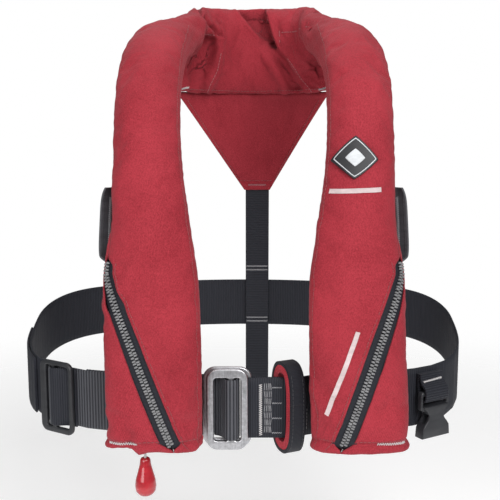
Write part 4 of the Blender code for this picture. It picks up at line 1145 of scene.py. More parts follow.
def make_channel(side, word, red):
    """Fabric channel on a lobe's back that the belt runs through."""
    profile = [(-0.2240, -0.1176), (-0.2275, -0.1130), (-0.2300, -0.1078), (-0.2560, -0.1068),
               (-0.2850, -0.1078), (-0.2868, -0.1130), (-0.2870, -0.1176)]
    grid = []
    for x in np.linspace(0.050, 0.110, 41):
        drop = belt_at(front_angle(x)).y + 0.1105
        line = [(side * x, y + (drop if z < -0.2290 and y > -0.1100 else 0.0), z) for z, y in profile]
        even = resample(line, 0.0012, 4)
        even[:, 1] += 0.0004 * np.sin(300 * x + 240 * even[:, 2])
        grid.append(even[:60])
    size = min(len(row) for row in grid)
    grid = np.array([row[:size] for row in grid])
    name = "belt_channel_" + word
    channel = cloth_mesh(name, grid, red)
    walled(channel, 0.0012)
    put(channel, "jacket", "red_fabric", name)


# ------------------------------------------------------------------ belt and straps
def webbing(node, path, material, across=UP, width=BELT_WIDTH, body="jacket", **rest):
    """Black webbing along a path, standing for the CAD node of its own name."""
    return put(band(node, path, across, width, material, **rest), body, "black_webbing", node)


def along_front(places, offset):
    """Points of the belt's front at some X places, moved outward by offset."""
    return [tuple(belt_at(front_angle(x), offset)) for x in places]


def belt_height(y):
    share = max(0.0, min(1.0, (y + 0.095) / 0.175))
    return BELT_FRONT_Z + (BELT_BACK_Z - BELT_FRONT_Z) * share * share * (3 - 2 * share)


def belt_at(angle, offset=0.0):
    """Point of the belt at a polar angle in degrees, moved outward by offset."""
    def plan(value):
        c, s = math.cos(value), math.sin(value)
        power = 2.0 if s > 0 else 3.0
        reach = (abs(c / BELT_HALF_X) ** power + abs(s / BELT_HALF_Y) ** power) ** (-1 / power)
        return Vector((BELT_X + reach * c, BELT_Y + reach * s, 0))

    a = math.radians(angle)
    along = plan(a + 0.01) - plan(a - 0.01)
    here = plan(a) + Vector((along.y, -along.x, 0)).normalized() * offset
    here.z = belt_height(here.y)
    return here


def front_angle(x):
    u = abs((x - BELT_X) / BELT_HALF_X)
    return math.degrees(math.atan2(-BELT_HALF_Y * (1 - u ** 3) ** (1 / 3), x - BELT_X)) % 360


def adjuster_frame():
    """Centre, belt direction and outward direction of the side adjuster."""
    angle = front_angle(-0.163)
    along = (belt_at(angle - 4) - belt_at(angle + 4)) * -1
    along.z = 0
    along.normalize()
    out = Vector((along.y, -along.x, 0))
    return belt_at(angle, 0.0042), along, (-out if out.y > 0 else out)


def clip_frame():
    angle = front_angle(CLIP_X)
    along = belt_at(angle + 3) - belt_at(angle - 3)
    along.z = 0
    along.normalize()
    return belt_at(angle), along, Vector((along.y, -along.x, 0))


def clip_point(across, out, height):
    spot, along, outward_way = clip_frame()
    point = spot + along * across + outward_way * out
    point.z = height
    return point


def belt_route():
    """The belt's main run, from the rear frame round the back to the side adjuster."""
    wrap = 0.0029
    front_y, back_y = REAR_FRAME_Y - wrap, REAR_FRAME_Y + wrap
    edge, high = REAR_RIGHT_X - 0.0060, BELT_FRONT_Z
    path = [(0.0240, -0.1194, high), (0.0060, -0.1192, high), (0.0015, -0.1178, high),
            (-0.0030, back_y, high), (edge + 0.0010, back_y, high),
            (edge - 0.0014, back_y - 0.0004, high), (edge - 0.0024, REAR_FRAME_Y + 0.0012, high),
            (edge - 0.0024, REAR_FRAME_Y - 0.0012, high), (edge - 0.0014, front_y + 0.0004, high),
            (edge + 0.0010, front_y, high), (-0.0030, front_y, high), (0.0120, front_y, high),
            (0.0260, front_y, high), (0.0340, -0.1204, high), (0.0420, -0.1160, high),
            (0.0500, -0.1124, high)]
    path += along_front((0.062, 0.080, 0.098, 0.116, 0.134, 0.150, 0.164, 0.175), 0.0)
    start, finish = front_angle(0.182) - 360, front_angle(-0.185)
    path += [tuple(belt_at(start + (finish - start) * i / 150)) for i in range(151)]
    centre, along, out = adjuster_frame()
    crest = ((0.0190, -0.0034), (0.0120, -0.0034), (0.0078, -0.0018), (0.0040, 0.0014), (0.0010, 0.0032),
             (-0.0025, 0.0036), (-0.0055, 0.0030), (-0.0074, 0.0006), (-0.0084, -0.0022),
             (-0.0115, -0.0036), (-0.0190, -0.0040))
    for u, n in crest:
        spot = centre + along * u + out * n
        path.append((spot.x, spot.y, belt_height(spot.y)))
    path += along_front((-0.138, -0.128, -0.1195), 0.0013)
    return path


def make_belt(fine, coarse):
    """Every run of 50 mm belt."""
    high = BELT_FRONT_Z
    main = webbing("belt_back", belt_route(), fine, rib=0.00006, step=0.00055,
                   ending=(0.083, 0.00018, RIB, coarse))
    start, finish = front_angle(-0.1870), 186.0
    tail = [tuple(belt_at(start + (finish - start) * i / 40, 0.0026 - 0.0006 * ease(i, 20, 40)))
            for i in range(41)]
    webbing("belt_tail", tail, fine, rib=0.00010, step=0.00065)
    outer = along_front((-0.1175, -0.1080, -0.0940, -0.0800, -0.0650), 0.0013)
    outer += [(-0.0500, -0.1136, high), (-0.0410, -0.1154, high), (-0.0325, -0.1156, high)]
    webbing("belt_front_outer", outer, coarse, rib=0.00016, step=0.0005)
    inner = along_front((-0.1390, -0.1300, -0.1200, -0.1080, -0.0940, -0.0800, -0.0650), -0.0013)
    inner += [(-0.0500, -0.1110, high), (-0.0410, -0.1112, high), (-0.0325, -0.1114, high)]
    webbing("belt_front_inner", inner, coarse, rib=0.00016, step=0.0005)
    bight = [(-0.0318, -0.1157, high), (-0.0280, -0.1176, high), (-0.0248, -0.1212, high),
             (-0.0228, -0.1256, high), (-0.0212, -0.1284, high), (-0.0182, -0.1293, high),
             (-0.0152, -0.1284, high), (-0.0134, -0.1256, high), (-0.0122, -0.1200, high),
             (-0.0124, -0.1150, high), (-0.0156, -0.1124, high), (-0.0220, -0.1117, high),
             (-0.0318, -0.1115, high)]
    webbing("belt_end_loop", bight, coarse, body="buckle_front", rib=0.00012, step=0.0005, rounds=3)
    return main


def make_straps(fine):
    """Back strap, its belt keeper, and the tab that carries the crotch clip."""
    x = 0.0048
    route = [(x, 0.1122, -0.0800), (x, 0.1146, -0.0900), (x, 0.1165, -0.0985), (x, 0.1182, -0.1150),
             (x, 0.1205, -0.1450), (x, 0.1214, -0.1750), (x, 0.1216, -0.2050), (x, 0.1216, -0.2500),
             (x, 0.1225, -0.2900), (x, 0.1235, -0.3220)]
    narrow = {"across": (1, 0, 0), "width": STRAP_WIDTH, "rib": 0.00006, "step": 0.0008, "pitch": STRAP_RIB}
    strap = webbing("back_strap", route, fine, **narrow)
    keeper = [(x, 0.1248, -0.1860), (x, 0.1284, -0.1935), (x, 0.1294, -0.2100), (x, 0.1294, -0.2340),
              (x, 0.1284, -0.2505), (x, 0.1248, -0.2580)]
    webbing("belt_keeper_back", keeper, fine, **narrow)
    _, along, _ = clip_frame()
    profile = ((0.0024, -0.2372), (0.0024, -0.2450), (0.0030, -0.2505), (0.0042, -0.2560),
               (0.0052, -0.2588), (0.0085, -0.2602), (0.0118, -0.2588), (0.0126, -0.2560),
               (0.0126, -0.2515), (0.0112, -0.2485), (0.0074, -0.2455), (0.0052, -0.2425),
               (0.0048, -0.2372))
    route = [clip_point(0, out, height) for out, height in profile]
    tab = webbing("clip_tab", route, fine, along, STRAP_WIDTH, rib=0.00012, step=0.0005, pitch=STRAP_RIB,
                  rounds=3)
    return strap, tab


def loop_ring(half_height, half_depth, count=56):
    """Centre line of the soft loop: an upright rounded oval around the belt."""
    path = []
    for i in range(count):
        angle = 2 * math.pi * (i + 0.5) / count
        c, s = math.cos(angle), math.sin(angle)
        out = math.copysign(abs(c) ** (2 / 2.6), c) * half_depth
        rise = math.copysign(abs(s) ** (2 / 3.4), s) * half_height
        path.append(LOOP_PLACE + LOOP_FORWARD * out + Vector((0, 0, rise)))
    return path


def make_soft_loop(black, lining_red):
    outside = webbing("soft_loop", loop_ring(0.0360, 0.0165), black, LOOP_ACROSS, 0.0130, "loop",
                      thickness=0.0028, step=0.0006, closed=True, rounds=3)
    lining = band("soft_loop_lining", loop_ring(0.0315, 0.0120), LOOP_ACROSS, 0.0128, lining_red, 0.0060,
                  0.0007, closed=True, rounds=3)
    put(lining, "loop", "red_fabric", "soft_loop_lining")
    return outside


# ------------------------------------------------------------------ hardware
def make_buckle(steel):
    """The two stainless frames of the buckle, with rounded edges."""
    high = BELT_FRONT_Z
    place = frame_matrix((0, REAR_FRAME_Y, high), (1, 0, 0), (0, 0, 1))
    rear = plate("buckle_rear_frame", rounded_rectangle(-0.0410, -0.0015, -0.0335, 0.0335, 0.0100),
                 [rounded_rectangle(-0.0350, -0.0075, -0.0260, 0.0260, 0.0024)], 0.0030, place, steel, 0.0013)
    put(rear, "jacket", "satin_steel", "buckle_rear_frame")
    place = frame_matrix((0, FRONT_FRAME_Y, high), (1, 0, 0), (0, 0, 1))
    holes = [rounded_rectangle(-0.0320, -0.0200, -0.0260, 0.0260, 0.0028),
             rounded_rectangle(-0.0164, -0.0103, -0.0260, 0.0260, 0.0028)]
    front = plate("buckle_front_frame", rounded_rectangle(-0.0380, -0.0045, -0.0335, 0.0335, 0.0090),
                  holes, 0.0032, place, steel, 0.0013)
    put(front, "buckle_front", "satin_steel", "buckle_front_frame")


def make_adjuster(plastic):
    centre, along, _ = adjuster_frame()
    centre.z = belt_height(centre.y) - 0.0010
    place = frame_matrix(centre, along, (0, 0, 1))
    holes = [rounded_rectangle(-0.0110, -0.0047, -0.0258, 0.0272, 0.0014),
             rounded_rectangle(-0.0014, 0.0138, -0.0258, 0.0272, 0.0026)]
    made = plate("side_adjuster", rounded_rectangle(-0.0180, 0.0180, -0.0312, 0.0312, 0.0068),
                 holes, 0.0038, place, plastic, 0.0014)
    put(made, "jacket", "black_plastic", "side_adjuster")


def refined(node, material, bevel=0.0003, segments=2):
    """A CAD node that keeps its shape, with broken edges and a finished material."""
    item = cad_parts[node]
    item.data.materials.clear()
    item.data.materials.append(material)
    weld = item.modifiers.new("weld", "WELD")
    weld.merge_threshold = 0.00001
    rim = item.modifiers.new("rim", "BEVEL")
    rim.width = bevel
    rim.segments = segments
    rim.limit_method = "ANGLE"
    rim.angle_limit = math.radians(38)
    rim.harden_normals = True
    item.data.shade_smooth()
    return item


def turned(name, profile, base, material, segments=48):
    """A round piece from (radius, height) points, eased into a smooth outline."""
    line = resample([(r, 0, h) for r, h in profile], 0.0006, 3)
    points = [Vector(base) + Vector((0, 0, line[0][2]))]
    for radius, _, height in line[1:-1]:
        for i in range(segments):
            angle = 2 * math.pi * i / segments
            points.append(Vector(base) + Vector((radius * math.cos(angle), radius * math.sin(angle), height)))
    points.append(Vector(base) + Vector((0, 0, line[-1][2])))
    rings = len(line) - 2
    faces = [tuple(1 + n for n in f) for f in grid_faces(rings, segments, wrap=True)]
    last = len(points) - 1
    for i in range(segments):
        n = (i + 1) % segments
        faces.append((0, 1 + n, 1 + i))
        faces.append((last, last - segments + i, last - segments + n))
    made = mesh_object(name, points, faces, material)
    outward(made)
    return made


def make_toggle(gloss, cord_material):
    """Pull toggle and its short braided cord."""
    profile = [(0, 0.0004), (0.0034, 0.0002), (0.0041, -0.0014), (0.0047, -0.0060), (0.0063, -0.0120),
               (0.0079, -0.0175), (0.0085, -0.0225), (0.0079, -0.0268), (0.0056, -0.0298), (0, -0.0312)]
    toggle = turned("toggle_handle", profile, (PULL.x, PULL.y, -0.2925), gloss)
    put(toggle, "toggle", "toggle_plastic", "pull_toggle")
    curve = bpy.data.curves.new("pull_cord_braid", "CURVE")
    curve.dimensions = "3D"
    curve.bevel_depth = 0.0010
    curve.bevel_resolution = 4
    curve.use_fill_caps = True
    spline = curve.splines.new("POLY")
    spline.points.add(15)
    for i, spot in enumerate(spline.points):
        spot.co = (PULL.x, PULL.y, PULL.z - PULL_LENGTH * i / 15, 1)
    curve.materials.append(cord_material)
    cord = linked("pull_cord_braid", curve)
    put(cord, "toggle", "cord_white", "pull_cord")


# ------------------------------------------------------------------ badge
def diamond(half_width, half_height, angle):
    """Point of a diamond outline with softly rounded corners."""
    c, s = math.cos(angle), math.sin(angle)
    reach = (abs(c) ** 1.12 + abs(s) ** 1.12) ** (-1 / 1.12)
    return half_width * reach * c, half_height * reach * s


def make_badge(cover, rubber, pale):
    """Rubber chest patch: a dark diamond with a pale border and a plain raised middle."""
    middle, spacing, shift = 6.06, 0.0425, 0.0064
    chest = tree_of(cover)

    def on_section(x, y):
        place = lobe_frame(middle + y / spacing, 1)
        share = (x + shift) * -1 / place[3]
        angle = math.acos(math.copysign(abs(share) ** (SECTION_POWER / 2), share))
        return section_point(place, angle), place[2]

    rises = []
    for x in np.linspace(-0.014, 0.014, 7):
        for y in np.linspace(-0.012, 0.012, 7):
            spot, out = on_section(x, y)
            hit, _, _, _ = chest.ray_cast(spot + out * 0.02, -out)
            rises.append(0.020 - (spot + out * 0.02 - hit).length)
    seat = sorted(rises)[int(0.75 * len(rises))]

    def stack(name, levels, material):
        points, segments = [], 96
        for shrink, lift in levels:
            for i in range(segments):
                angle = 2 * math.pi * i / segments
                x, y = diamond(BADGE_HALF_WIDTH * shrink, BADGE_HALF_HEIGHT * shrink, angle)
                spot, out = on_section(x, y)
                points.append(spot + out * (seat + lift))
        faces = grid_faces(len(levels), segments, wrap=True)
        faces.append(tuple(range(segments)))
        faces.append(tuple(range(len(points) - segments, len(points)))[::-1])
        made = mesh_object(name, points, faces, material)
        outward(made, 50)
        return put(made, "jacket", "badge_rubber")

    patch = stack("badge_patch_shaped", ((0.97, -0.0030), (1.0, 0.0004), (0.985, 0.0011), (0.95, 0.0013),
                                         (0.90, 0.0010), (0.60, 0.0010), (0.30, 0.0010)), rubber)
    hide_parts("badge_patch")
    stack("badge_border", ((0.905, 0.0005), (0.90, 0.0013), (0.875, 0.0014), (0.855, 0.0013), (0.85, 0.0005)),
          pale)
    stack("badge_field", ((0.850, 0.0004), (0.845, 0.0012), (0.60, 0.0012), (0.30, 0.0012)), rubber)
    stack("badge_middle", ((0.42, 0.0010), (0.415, 0.0017), (0.38, 0.0020), (0.20, 0.0020)), pale)


def surface_strip(name, tree, path, width, material, lift=0.00035):
    """A thin printed or bonded strip lying on a surface, along a path seen from the front."""
    found = laid(tree, path, BACKWARD, 0.0006)
    points, faces = [], []
    for i, (spot, normal) in enumerate(found):
        ahead = found[min(i + 1, len(found) - 1)][0] - found[max(i - 1, 0)][0]
        side = ahead.cross(normal).normalized() * (width / 2)
        rise = normal * lift
        points += [spot - side - rise, spot - side + rise, spot + side + rise, spot + side - rise]
    faces += grid_faces(len(found), 4, wrap=True)
    faces.append((3, 2, 1, 0))
    faces.append(tuple(len(points) - 4 + i for i in range(4)))
    made = mesh_object(name, points, faces, material)
    outward(made, 40)
    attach(made, "jacket")
    return made


# ------------------------------------------------------------------ stitching
def laid_section(tree, side, first, last, angle_of, step=0.0006):
    """Points along a lobe at an angle of its section, laid onto the cover."""
    found = []
    for t in even_stations(first, last, step):
        place = lobe_frame(t, side)
        spot = section_point(place, angle_of(place))
        out = (spot - place[0]).normalized()
        hit, normal, _, _ = tree.ray_cast(spot + out * 0.02, -out)
        if hit is not None:
            found.append((hit, normal if normal.dot(out) > 0 else -normal))
    return found


def stitch_lobe(side, word, cover, pale, dark):
    """Seam rows, zip topstitching and the white bartack at the foot of a lobe."""
    tree = tree_of(cover)
    seam = laid_section(tree, side, 0.35, 9.6, lambda p: math.pi - 0.40)
    beside_zip = laid_section(tree, side, 0.25, T_ZIP_TOP,
                              lambda p: walk(p, zip_angle(p), zip_gap(p) + 0.0026))
    rows = stitch_places(seam, 0.0032) + stitch_places(beside_zip, 0.0030)
    sew("seam_rows_" + word, rows, dark, 0.00055, 0.00035)
    middle, high = lobe_frame(0.6, side)[0].x, -0.2755
    tack = tacked(tree, [(middle + side * 0.033, -0.2, high), (middle + side * 0.011, -0.2, high + 0.001)],
                  0.0011, 0.0007, 0.0003)
    sew("foot_bartack_" + word, tack, pale, 0.00055, 0.0005, "cord_white")
    hem = running(tree, [(middle - 0.033, -0.2, -0.2725), (middle + 0.033, -0.2, -0.2725)], 0.0032)
    sew("foot_hem_" + word, hem, dark, 0.00055, 0.00035)


COLLAR_ROWS = (                   # X and Z of stitched lines on the collar's inner face
    ((-0.0520, 0.0540), (-0.0325, 0.0545)),
    ((0.0256, 0.0600), (0.0258, 0.0470)),
    ((0.0275, 0.0580), (0.0430, 0.0572), (0.0600, 0.0560)),
    ((-0.0308, 0.0380), (-0.0345, 0.0220), (-0.0414, 0.0085), (-0.0450, 0.0010)),
    ((0.0335, 0.0330), (0.0463, 0.0150), (0.0561, 0.0030), (0.0600, -0.0060)),
)


def stitch_collar(collar, pink, maroon, pale, grey):
    tree = tree_of(collar)
    places = []
    for row in COLLAR_ROWS:
        places += running(tree, [(x, -0.02, z) for x, z in row], 0.0031)
    sew("collar_rows", places, pink, 0.00065, 0.0004)
    seam = [(0.001 * x, -0.02, 0.0042 - 0.0009 * math.cos(0.02 * x)) for x in range(-66, 67, 6)]
    sew("nape_row", running(tree, seam, 0.0034), maroon, 0.00065, 0.0004)
    for word, low, high, shade in (("right", -0.0700, -0.0620, pale), ("left", 0.0640, 0.0735, grey)):
        tack = tacked(tree, [(low, -0.02, 0.0035), (high, -0.02, 0.0055)], 0.0012)
        sew("nape_bartack_" + word, tack, shade, 0.0005, 0.0005, "cord_white")


def stitch_yoke(yoke, pink, dark):
    """Hem rows round the yoke and the bartack where the back strap joins it."""
    tree = tree_of(yoke)
    left = [yoke_point(-0.925, v / 20) for v in range(1, 19)]
    right = [yoke_point(0.925, v / 20) for v in range(1, 19)]
    foot = [yoke_point(u / 10, 0.90) for u in range(-9, 10)]
    places = []
    for row in (left, right, foot):
        places += running(tree, [(p.x, p.y - 0.03, p.z) for p in row], 0.0031)
    sew("yoke_rows", places, pink, 0.0006, 0.0004)
    tack = tacked(tree, [(-0.0045, 0.05, -0.0925), (0.0140, 0.05, -0.0925)], 0.0011)
    sew("yoke_bartack", tack, dark, 0.0005, 0.0005)


def stitch_straps(strap, tab, pale, grey):
    tree = tree_of(strap)
    places = []
    for high in (-0.1815, -0.1855, -0.2385, -0.2425):
        places += tacked(tree, [(-0.0065, 0, high), (0.0160, 0, high)], 0.0009)
    sew("strap_bartacks", places, grey, 0.0005, 0.0005, "black_webbing")
    _, _, out = clip_frame()
    path = [clip_point(-0.0100, 0, -0.2436), clip_point(0.0100, 0, -0.2426)]
    tack = tacked(tree_of(tab), path, 0.0010, look=-out)
    sew("clip_tab_bartack", tack, pale, 0.0005, 0.0005, "black_webbing")


def stitch_tab(side, word, tab, dark, grey):
    """Border stitches and the bartack down a side tab."""
    tree = tree_of(tab)
    top = lobe_frame(T_TAB_TOP, -1)[0].z
    foot = lobe_frame(T_TAB_FOOT, -1)[0].z
    places = []
    for x in (0.1095, 0.1172):
        places += running(tree, [(side * x, 0, top - 0.004), (side * (x + 0.0015), 0, foot + 0.004)], 0.0026)
    sew("tab_rows_" + word, places, dark, 0.0005, 0.0003, "tab_rubber")
    tack = tacked(tree, [(side * 0.1130, 0, top - 0.008), (side * 0.1140, 0, foot + 0.008)], 0.0014, 0.0008)
    sew("tab_bartack_" + word, tack, grey, 0.0005, 0.0004, "tab_rubber")


def stitch_belt(belt, loop, pale, grey, dark):
    """White zigzag beside the buckle, short bartacks, and the rows beyond the soft loop."""
    tree = tree_of(belt)
    zigzag = tacked(tree, [(0.0054, -0.2, -0.2385), (0.0056, -0.2, -0.2805)], 0.0014, 0.0007)
    sew("belt_zigzag", zigzag, pale, 0.0005, 0.0005, "cord_white")
    places = []
    for row, x in enumerate((0.0088, 0.0101, 0.0113, 0.0126, 0.0138)):
        wave = [(x + 0.00045 * math.sin(0.8 * k + row), -0.2, -0.2370 - 0.0011 * k) for k in range(40)]
        places += running(tree, wave, 0.0060, 0.93)
    for high in (-0.2408, -0.2537, -0.2663, -0.2785):
        places += tacked(tree, [(0.0150, -0.2, high), (0.0225, -0.2, high)], 0.0006)
    for x in (0.0410, 0.0430):
        places += running(tree, [(x, -0.2, -0.2600), (x, -0.2, -0.2800)])
    sew("belt_rows", places, grey, 0.00045, 0.0003, "black_webbing")
    tree = tree_of(loop)
    places = []
    for shift in (-0.0047, 0.0047):
        path = [LOOP_PLACE + LOOP_ACROSS * shift + LOOP_FORWARD * 0.03 + Vector((0, 0, 0.001 * k))
                for k in range(-30, 31, 5)]
        places += running(tree, path, 0.0032, look=-LOOP_FORWARD)
    sew("loop_rows", places, dark, 0.0005, 0.0004, "black_webbing", "loop")


# ------------------------------------------------------------------ inside the cover
def depth_limits(tree, spot, out, reach):
    """How far along out the back and front faces of a padded piece are from a point between them."""
    front = tree.ray_cast(spot + out * reach, -out, 2 * reach)[0]
    back = tree.ray_cast(spot - out * reach, out, 2 * reach)[0]
    if front is None or back is None:
        return -reach, reach
    return (back - spot).dot(out), (front - spot).dot(out)


def nearby(limits, pick):
    """Each grid value's tightest neighbour, so that the faces between points stay inside too."""
    found = limits.copy()
    for across in (-2, -1, 0, 1, 2):
        for along in (-2, -1, 0, 1, 2):
            found = pick(found, np.roll(limits, (along, across), (0, 1)))
    return found


def make_bladder(coated, collar):
    """Folded bladder: a flat welded tube with soft packing creases, pressed flat by the collar's folds."""
    tree = tree_of(collar)
    skin = 0.0026                     # the collar's wall and a little air
    stations = [(t, -1) for t in even_stations(0.45, T_END, 0.0030)]
    stations += [(t, 1) for t, _ in stations[-2::-1]]
    columns = 40
    size = (len(stations), columns)
    spots, outs = np.zeros((*size, 3)), np.zeros((*size, 3))
    depth, layer, low, high = np.zeros(size), np.zeros(size), np.full(size, -1.0), np.full(size, 1.0)
    for r, (t, side) in enumerate(stations):
        centre, wide, out, half_width, half_thick = lobe_frame(t, side)
        thin = 0.0034
        margin = 0.0012 if centre.z < 0 else 0.0028
        back = centre - out * (half_thick - 0.0016 - thin - margin)
        for c in range(columns):
            angle = 2 * math.pi * c / columns
            crease = 1 - 0.16 * (0.5 + 0.5 * math.sin(0.9 * r + 3 * math.cos(angle)))
            spots[r, c] = back + wide * (half_width * 0.61 * math.cos(angle))
            outs[r, c] = out
            depth[r, c] = thin * 0.95 * math.sin(angle) * crease
            layer[r, c] = 0.0004 * (1 - math.sin(angle))
            if t > T_COLLAR + 0.15:
                low[r, c], high[r, c] = depth_limits(tree, Vector(spots[r, c]), out, half_thick + 0.012)
    low, high = nearby(low, np.maximum), nearby(high, np.minimum)
    depth = np.maximum(np.minimum(depth, high - skin - layer), low + skin - layer)
    grid = spots + outs * depth[:, :, None]
    made = capped("bladder_folded", grid, coated, grid_uv(grid))
    outward(made, 60)
    put(made, "jacket", "bladder_fabric", "bladder")


def make_becket(orange):
    path = []
    for r in range(6):
        centre, _, out, _, _ = lobe_frame(5.1 + 0.28 * r, 1)
        path.append(centre + out * 0.0060)
    made = band("lifting_becket_webbing", path, (1, 0, 0), STRAP_WIDTH * 0.8, orange, rib=0.00006,
                step=0.0008, pitch=STRAP_RIB)
    put(made, "jacket", "becket_webbing", "lifting_becket")


def make_tether(white):
    path = [(0.064, -0.1400, -0.1900), (0.064, -0.1380, -0.1800), (0.064, -0.1360, -0.1600),
            (0.064, -0.1345, -0.1450)]
    made = band("whistle_tape", path, (1, 0, 0), 0.0060, white, 0.0010, 0.0006)
    put(made, "jacket", "white_plastic", "whistle_tether")


def make_spring(name, centre, radius, wire, ends, turns, steel):
    """A round-wire coil spring standing between two heights."""
    around, sides = 24, 10
    low, high = ends
    points = []
    for i in range(turns * around + 1):
        angle = 2 * math.pi * i / around
        away = Vector((math.cos(angle), math.sin(angle), 0))
        spot = Vector((*centre, low + (high - low) * i / (turns * around))) + away * radius
        for k in range(sides):
            turn = 2 * math.pi * k / sides
            points.append(spot + (away * math.cos(turn) + Vector((0, 0, math.sin(turn)))) * wire)
    made = capped(name + "_coil", np.array(points).reshape(-1, sides, 3), steel)
    outward(made)
    put(made, "jacket", "satin_steel", name)
    return made


def make_springs(steel):
    """The pin's and the valve's return springs."""
    pin = make_spring("pin_spring", (HEAD_X, HEAD_Y), 0.0040, 0.0005, (-0.2617, -0.2515), 4, steel)
    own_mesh(pin)
    valve = make_spring("valve_spring", ORAL_TUBE, 0.0032, 0.0004, (-0.1805, -0.1755), 3, steel)
    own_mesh(valve)


def finish_hardware(black, clip_black):
    """Materials and broken edges for the CAD nodes that keep their shape."""
    dark = moulded("inflator_black", (0.045, 0.050, 0.058), 0.40)
    green = painted_metal("cylinder_enamel", (0.07, 0.22, 0.10))
    steel = brushed_steel("turned_steel", (0.46, 0.47, 0.49), (1, 1, 30))
    rubber = moulded("soft_black_rubber", (0.018, 0.018, 0.020), 0.62)
    white = moulded("white_moulding", (0.74, 0.74, 0.71), 0.38)
    brass = brushed_steel("brass_turned", (0.62, 0.42, 0.16), (1, 1, 30))
    film = reflective("reflective_film")
    looks = {
        "inflator_body": dark, "lever_bracket": dark,
        "firing_lever": moulded("lever_grey", (0.10, 0.10, 0.11)),
        "gas_cylinder": green, "lever_pin": steel, "piercing_pin": steel, "neck_seal": rubber,
        "oral_tube": rubber, "oral_tube_flange": rubber,
        "oral_tube_cap": black, "oral_valve_poppet": white, "manifold_nut": brass,
        "status_indicator": moulded("indicator_green", (0.05, 0.42, 0.10), 0.3, 0.3),
        "whistle": moulded("whistle_orange", (0.85, 0.22, 0.03), 0.34, 0.2),
        "reflective_patch_left": film, "reflective_patch_right": film,
        "crotch_clip": clip_black,
    }
    make_springs(steel)
    thin = {"reflective_patch_left": 0.00008, "reflective_patch_right": 0.00008,
            "neck_seal": 0.0001, "lever_pin": 0.00015,
            "crotch_clip": 0.0008}
    for node, material in looks.items():
        refined(node, material, thin.get(node, 0.00025), 4 if node == "crotch_clip" else 2)


def reflective(name):
    """Retroreflective film: silver, with a fine honeycomb of sealed cells."""
    made, tree, shader = surface(name, (0.72, 0.73, 0.75), 0.28, 0.5)
    cells = tree.nodes.new("ShaderNodeTexVoronoi")
    cells.feature = "DISTANCE_TO_EDGE"
    cells.inputs["Scale"].default_value = 420
    tree.links.new(position(tree), cells.inputs["Vector"])
    seams = ramp(tree, cells.outputs["Distance"], ((0.02, (0.45, 0.46, 0.48)), (0.10, (0.76, 0.77, 0.79))))
    tree.links.new(seams, shader.inputs["Base Color"])
    bump(tree, shader, cells.outputs["Distance"], 0.0001, 0.6)
    return made


# ------------------------------------------------------------------ camera and stage
def make_camera():
    """Camera at the photograph's angle: level with the back yoke, looking 8 degrees down."""
    made = bpy.data.cameras.new("camera")
    made.lens = 57.67
    made.sensor_width = 36.0
    made.clip_start = 0.01
    spot = linked("camera", made)
    spot.location = (-0.003, -0.742, -0.0426)
    spot.rotation_euler = (math.radians(82), 0, 0)
    bpy.context.scene.camera = spot


def floor_look():
    """Pale matt floor that fades out to the backdrop's white."""
    made, tree, shader = surface("pale_floor", (0.90, 0.90, 0.90), 0.9)
    shader.inputs["Emission Color"].default_value = (1, 1, 1, 1)
    shader.inputs["Emission Strength"].default_value = 0.30
    parts = tree.nodes.new("ShaderNodeSeparateXYZ")
    tree.links.new(position(tree), parts.inputs[0])
    x = calc(tree, "POWER", parts.outputs[0], 2.0)
    y = calc(tree, "POWER", parts.outputs[1], 2.0)
    reach = calc(tree, "SQRT", calc(tree, "ADD", x, y))
    fade = tree.nodes.new("ShaderNodeMapRange")
    fade.inputs["From Min"].default_value = 0.25
    fade.inputs["From Max"].default_value = 1.10
    fade.inputs["To Min"].default_value = 1.0
    fade.inputs["To Max"].default_value = 0.0
    fade.interpolation_type = "SMOOTHSTEP"
    tree.links.new(reach, fade.inputs["Value"])
    tree.links.new(fade.outputs[0], shader.inputs["Alpha"])
    return made


def make_stage():
    """Floor disc under the jacket, soft lights and a white world."""
    points, faces = [(0, 0, 0)], []
    for i in range(96):
        angle = 2 * math.pi * i / 96
        points.append((1.2 * math.cos(angle), 1.2 * math.sin(angle), 0))
        faces.append((0, 1 + i, 1 + (i + 1) % 96))
    floor = mesh_object("floor", points, faces, floor_look(), smooth=False)
    floor.location = (0, 0, FLOOR_Z)
    for name, place, power, size in LIGHTS:
        lamp = bpy.data.lights.new(name, "AREA")
        lamp.energy = power
        lamp.size = size
        made = linked(name, lamp)
        made.location = place
        aim = Vector((0, -0.03, -0.13)) - Vector(place)
        made.rotation_euler = aim.to_track_quat("-Z", "Y").to_euler()
    world = bpy.data.worlds.new("white")
    bpy.context.scene.world = world
    world.use_nodes = True
    tree = world.node_tree
    tree.nodes.clear()
    back = tree.nodes.new("ShaderNodeBackground")
    paths = tree.nodes.new("ShaderNodeLightPath")
    feed(tree, back, "Color", (1, 1, 1, 1))
    feed(tree, back, "Strength", calc(tree, "MULTIPLY_ADD", paths.outputs["Is Camera Ray"], 1.0 - WORLD_LIGHT,
                                      WORLD_LIGHT))
    out = tree.nodes.new("ShaderNodeOutputWorld")
    tree.links.new(back.outputs[0], out.inputs["Surface"])
    bpy.context.scene.view_settings.view_transform = "Standard"


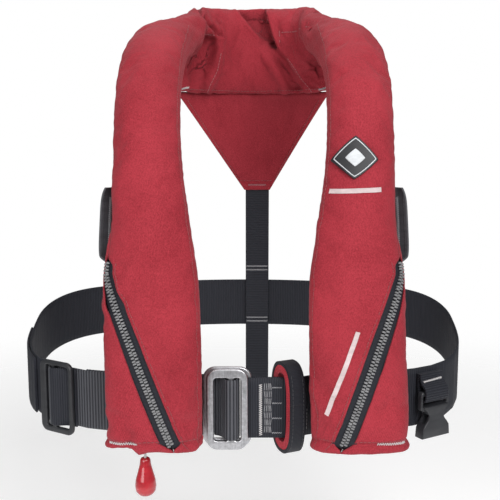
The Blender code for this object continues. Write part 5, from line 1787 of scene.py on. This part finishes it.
# ------------------------------------------------------------------ building
def build():
    make_camera()
    toggle_red = moulded("toggle_red", (0.42, 0.012, 0.022), 0.22, 0.6, 0.00001)
    make_toggle(toggle_red, braid("white_braid", PULL, 0.001))
    make_stage()
    red = red_cloth()
    fine = webbing_look("black_webbing_fine", 0.0019, 0.35)
    # crest is the painted sheen colour on the coarse ribs
    coarse = webbing_look("black_webbing_coarse", RIB, 1.1, crest=(0.085, 0.088, 0.10))
    black = moulded("black_acetal", (0.020, 0.021, 0.024), 0.40)
    pale = thread("white_thread", (0.72, 0.70, 0.70))
    grey = thread("grey_thread", (0.42, 0.42, 0.44))
    pink = thread("pink_thread", (0.50, 0.17, 0.19))
    maroon = thread("red_thread", (0.34, 0.060, 0.070))
    dark = thread("black_thread", (0.035, 0.036, 0.042))
    tape = webbing_look("zip_tape_weave", 0.0011, 0.25)
    tooth = moulded("zip_tooth_grey", (0.20, 0.20, 0.205), 0.40)
    rubber = moulded("tab_rubber_grey", (0.060, 0.062, 0.070), 0.55)
    covers = {}
    for side, word in ((-1, "right"), (1, "left")):
        covers[word] = make_lobe(side, word, red)
        make_tapes(side, word, tape)
        make_teeth(side, word, tooth)
        make_channel(side, word, red)
        stitch_lobe(side, word, covers[word], pale, maroon)
        stitch_tab(side, word, make_tab(side, word, rubber), dark, grey)
    collar = make_collar(red)
    stitch_collar(collar, pink, maroon, pale, grey)
    stitch_yoke(make_yoke(red), maroon, pink)
    belt = make_belt(fine, coarse)
    strap, tab = make_straps(fine)
    stitch_straps(strap, tab, pale, grey)
    loop = make_soft_loop(webbing_look("loop_webbing", 0.0011, 0.10), red_cloth("coral_lining", 1.45, 0.0007))
    stitch_belt(belt, loop, pale, grey, dark)
    make_buckle(brushed_steel())
    make_adjuster(black)
    make_badge(covers["left"], moulded("badge_black", (0.016, 0.016, 0.019), 0.5),
               moulded("badge_pale", (0.62, 0.64, 0.66), 0.45))
    chest = tree_of(covers["left"])
    printed = moulded("pale_print", (0.62, 0.50, 0.50), 0.6)
    surface_strip("chest_stripe", chest, [(0.0570, -0.2, -0.0828), (0.0950, -0.2, -0.0812)], 0.0036, printed)
    surface_strip("zip_stripe", chest, [(0.0552, -0.2, -0.2519), (0.0774, -0.2, -0.1860)], 0.0036, printed)
    make_bladder(moulded("bladder_yellow", (0.78, 0.50, 0.03), 0.5, 0.0, 0.00006, 900), collar)
    # the second colour is the painted sheen on the becket's rib crests
    make_becket(webbing_look("becket_orange", 0.0019, 0.35, (0.45, 0.10, 0.02), (0.75, 0.25, 0.06)))
    # the second colour is the painted sheen on the tape's rib crests
    make_tether(webbing_look("tether_white", 0.0012, 0.3, (0.45, 0.45, 0.44), (0.75, 0.75, 0.73)))
    finish_hardware(black, moulded("clip_black", (0.026, 0.027, 0.031), 0.36))


build()
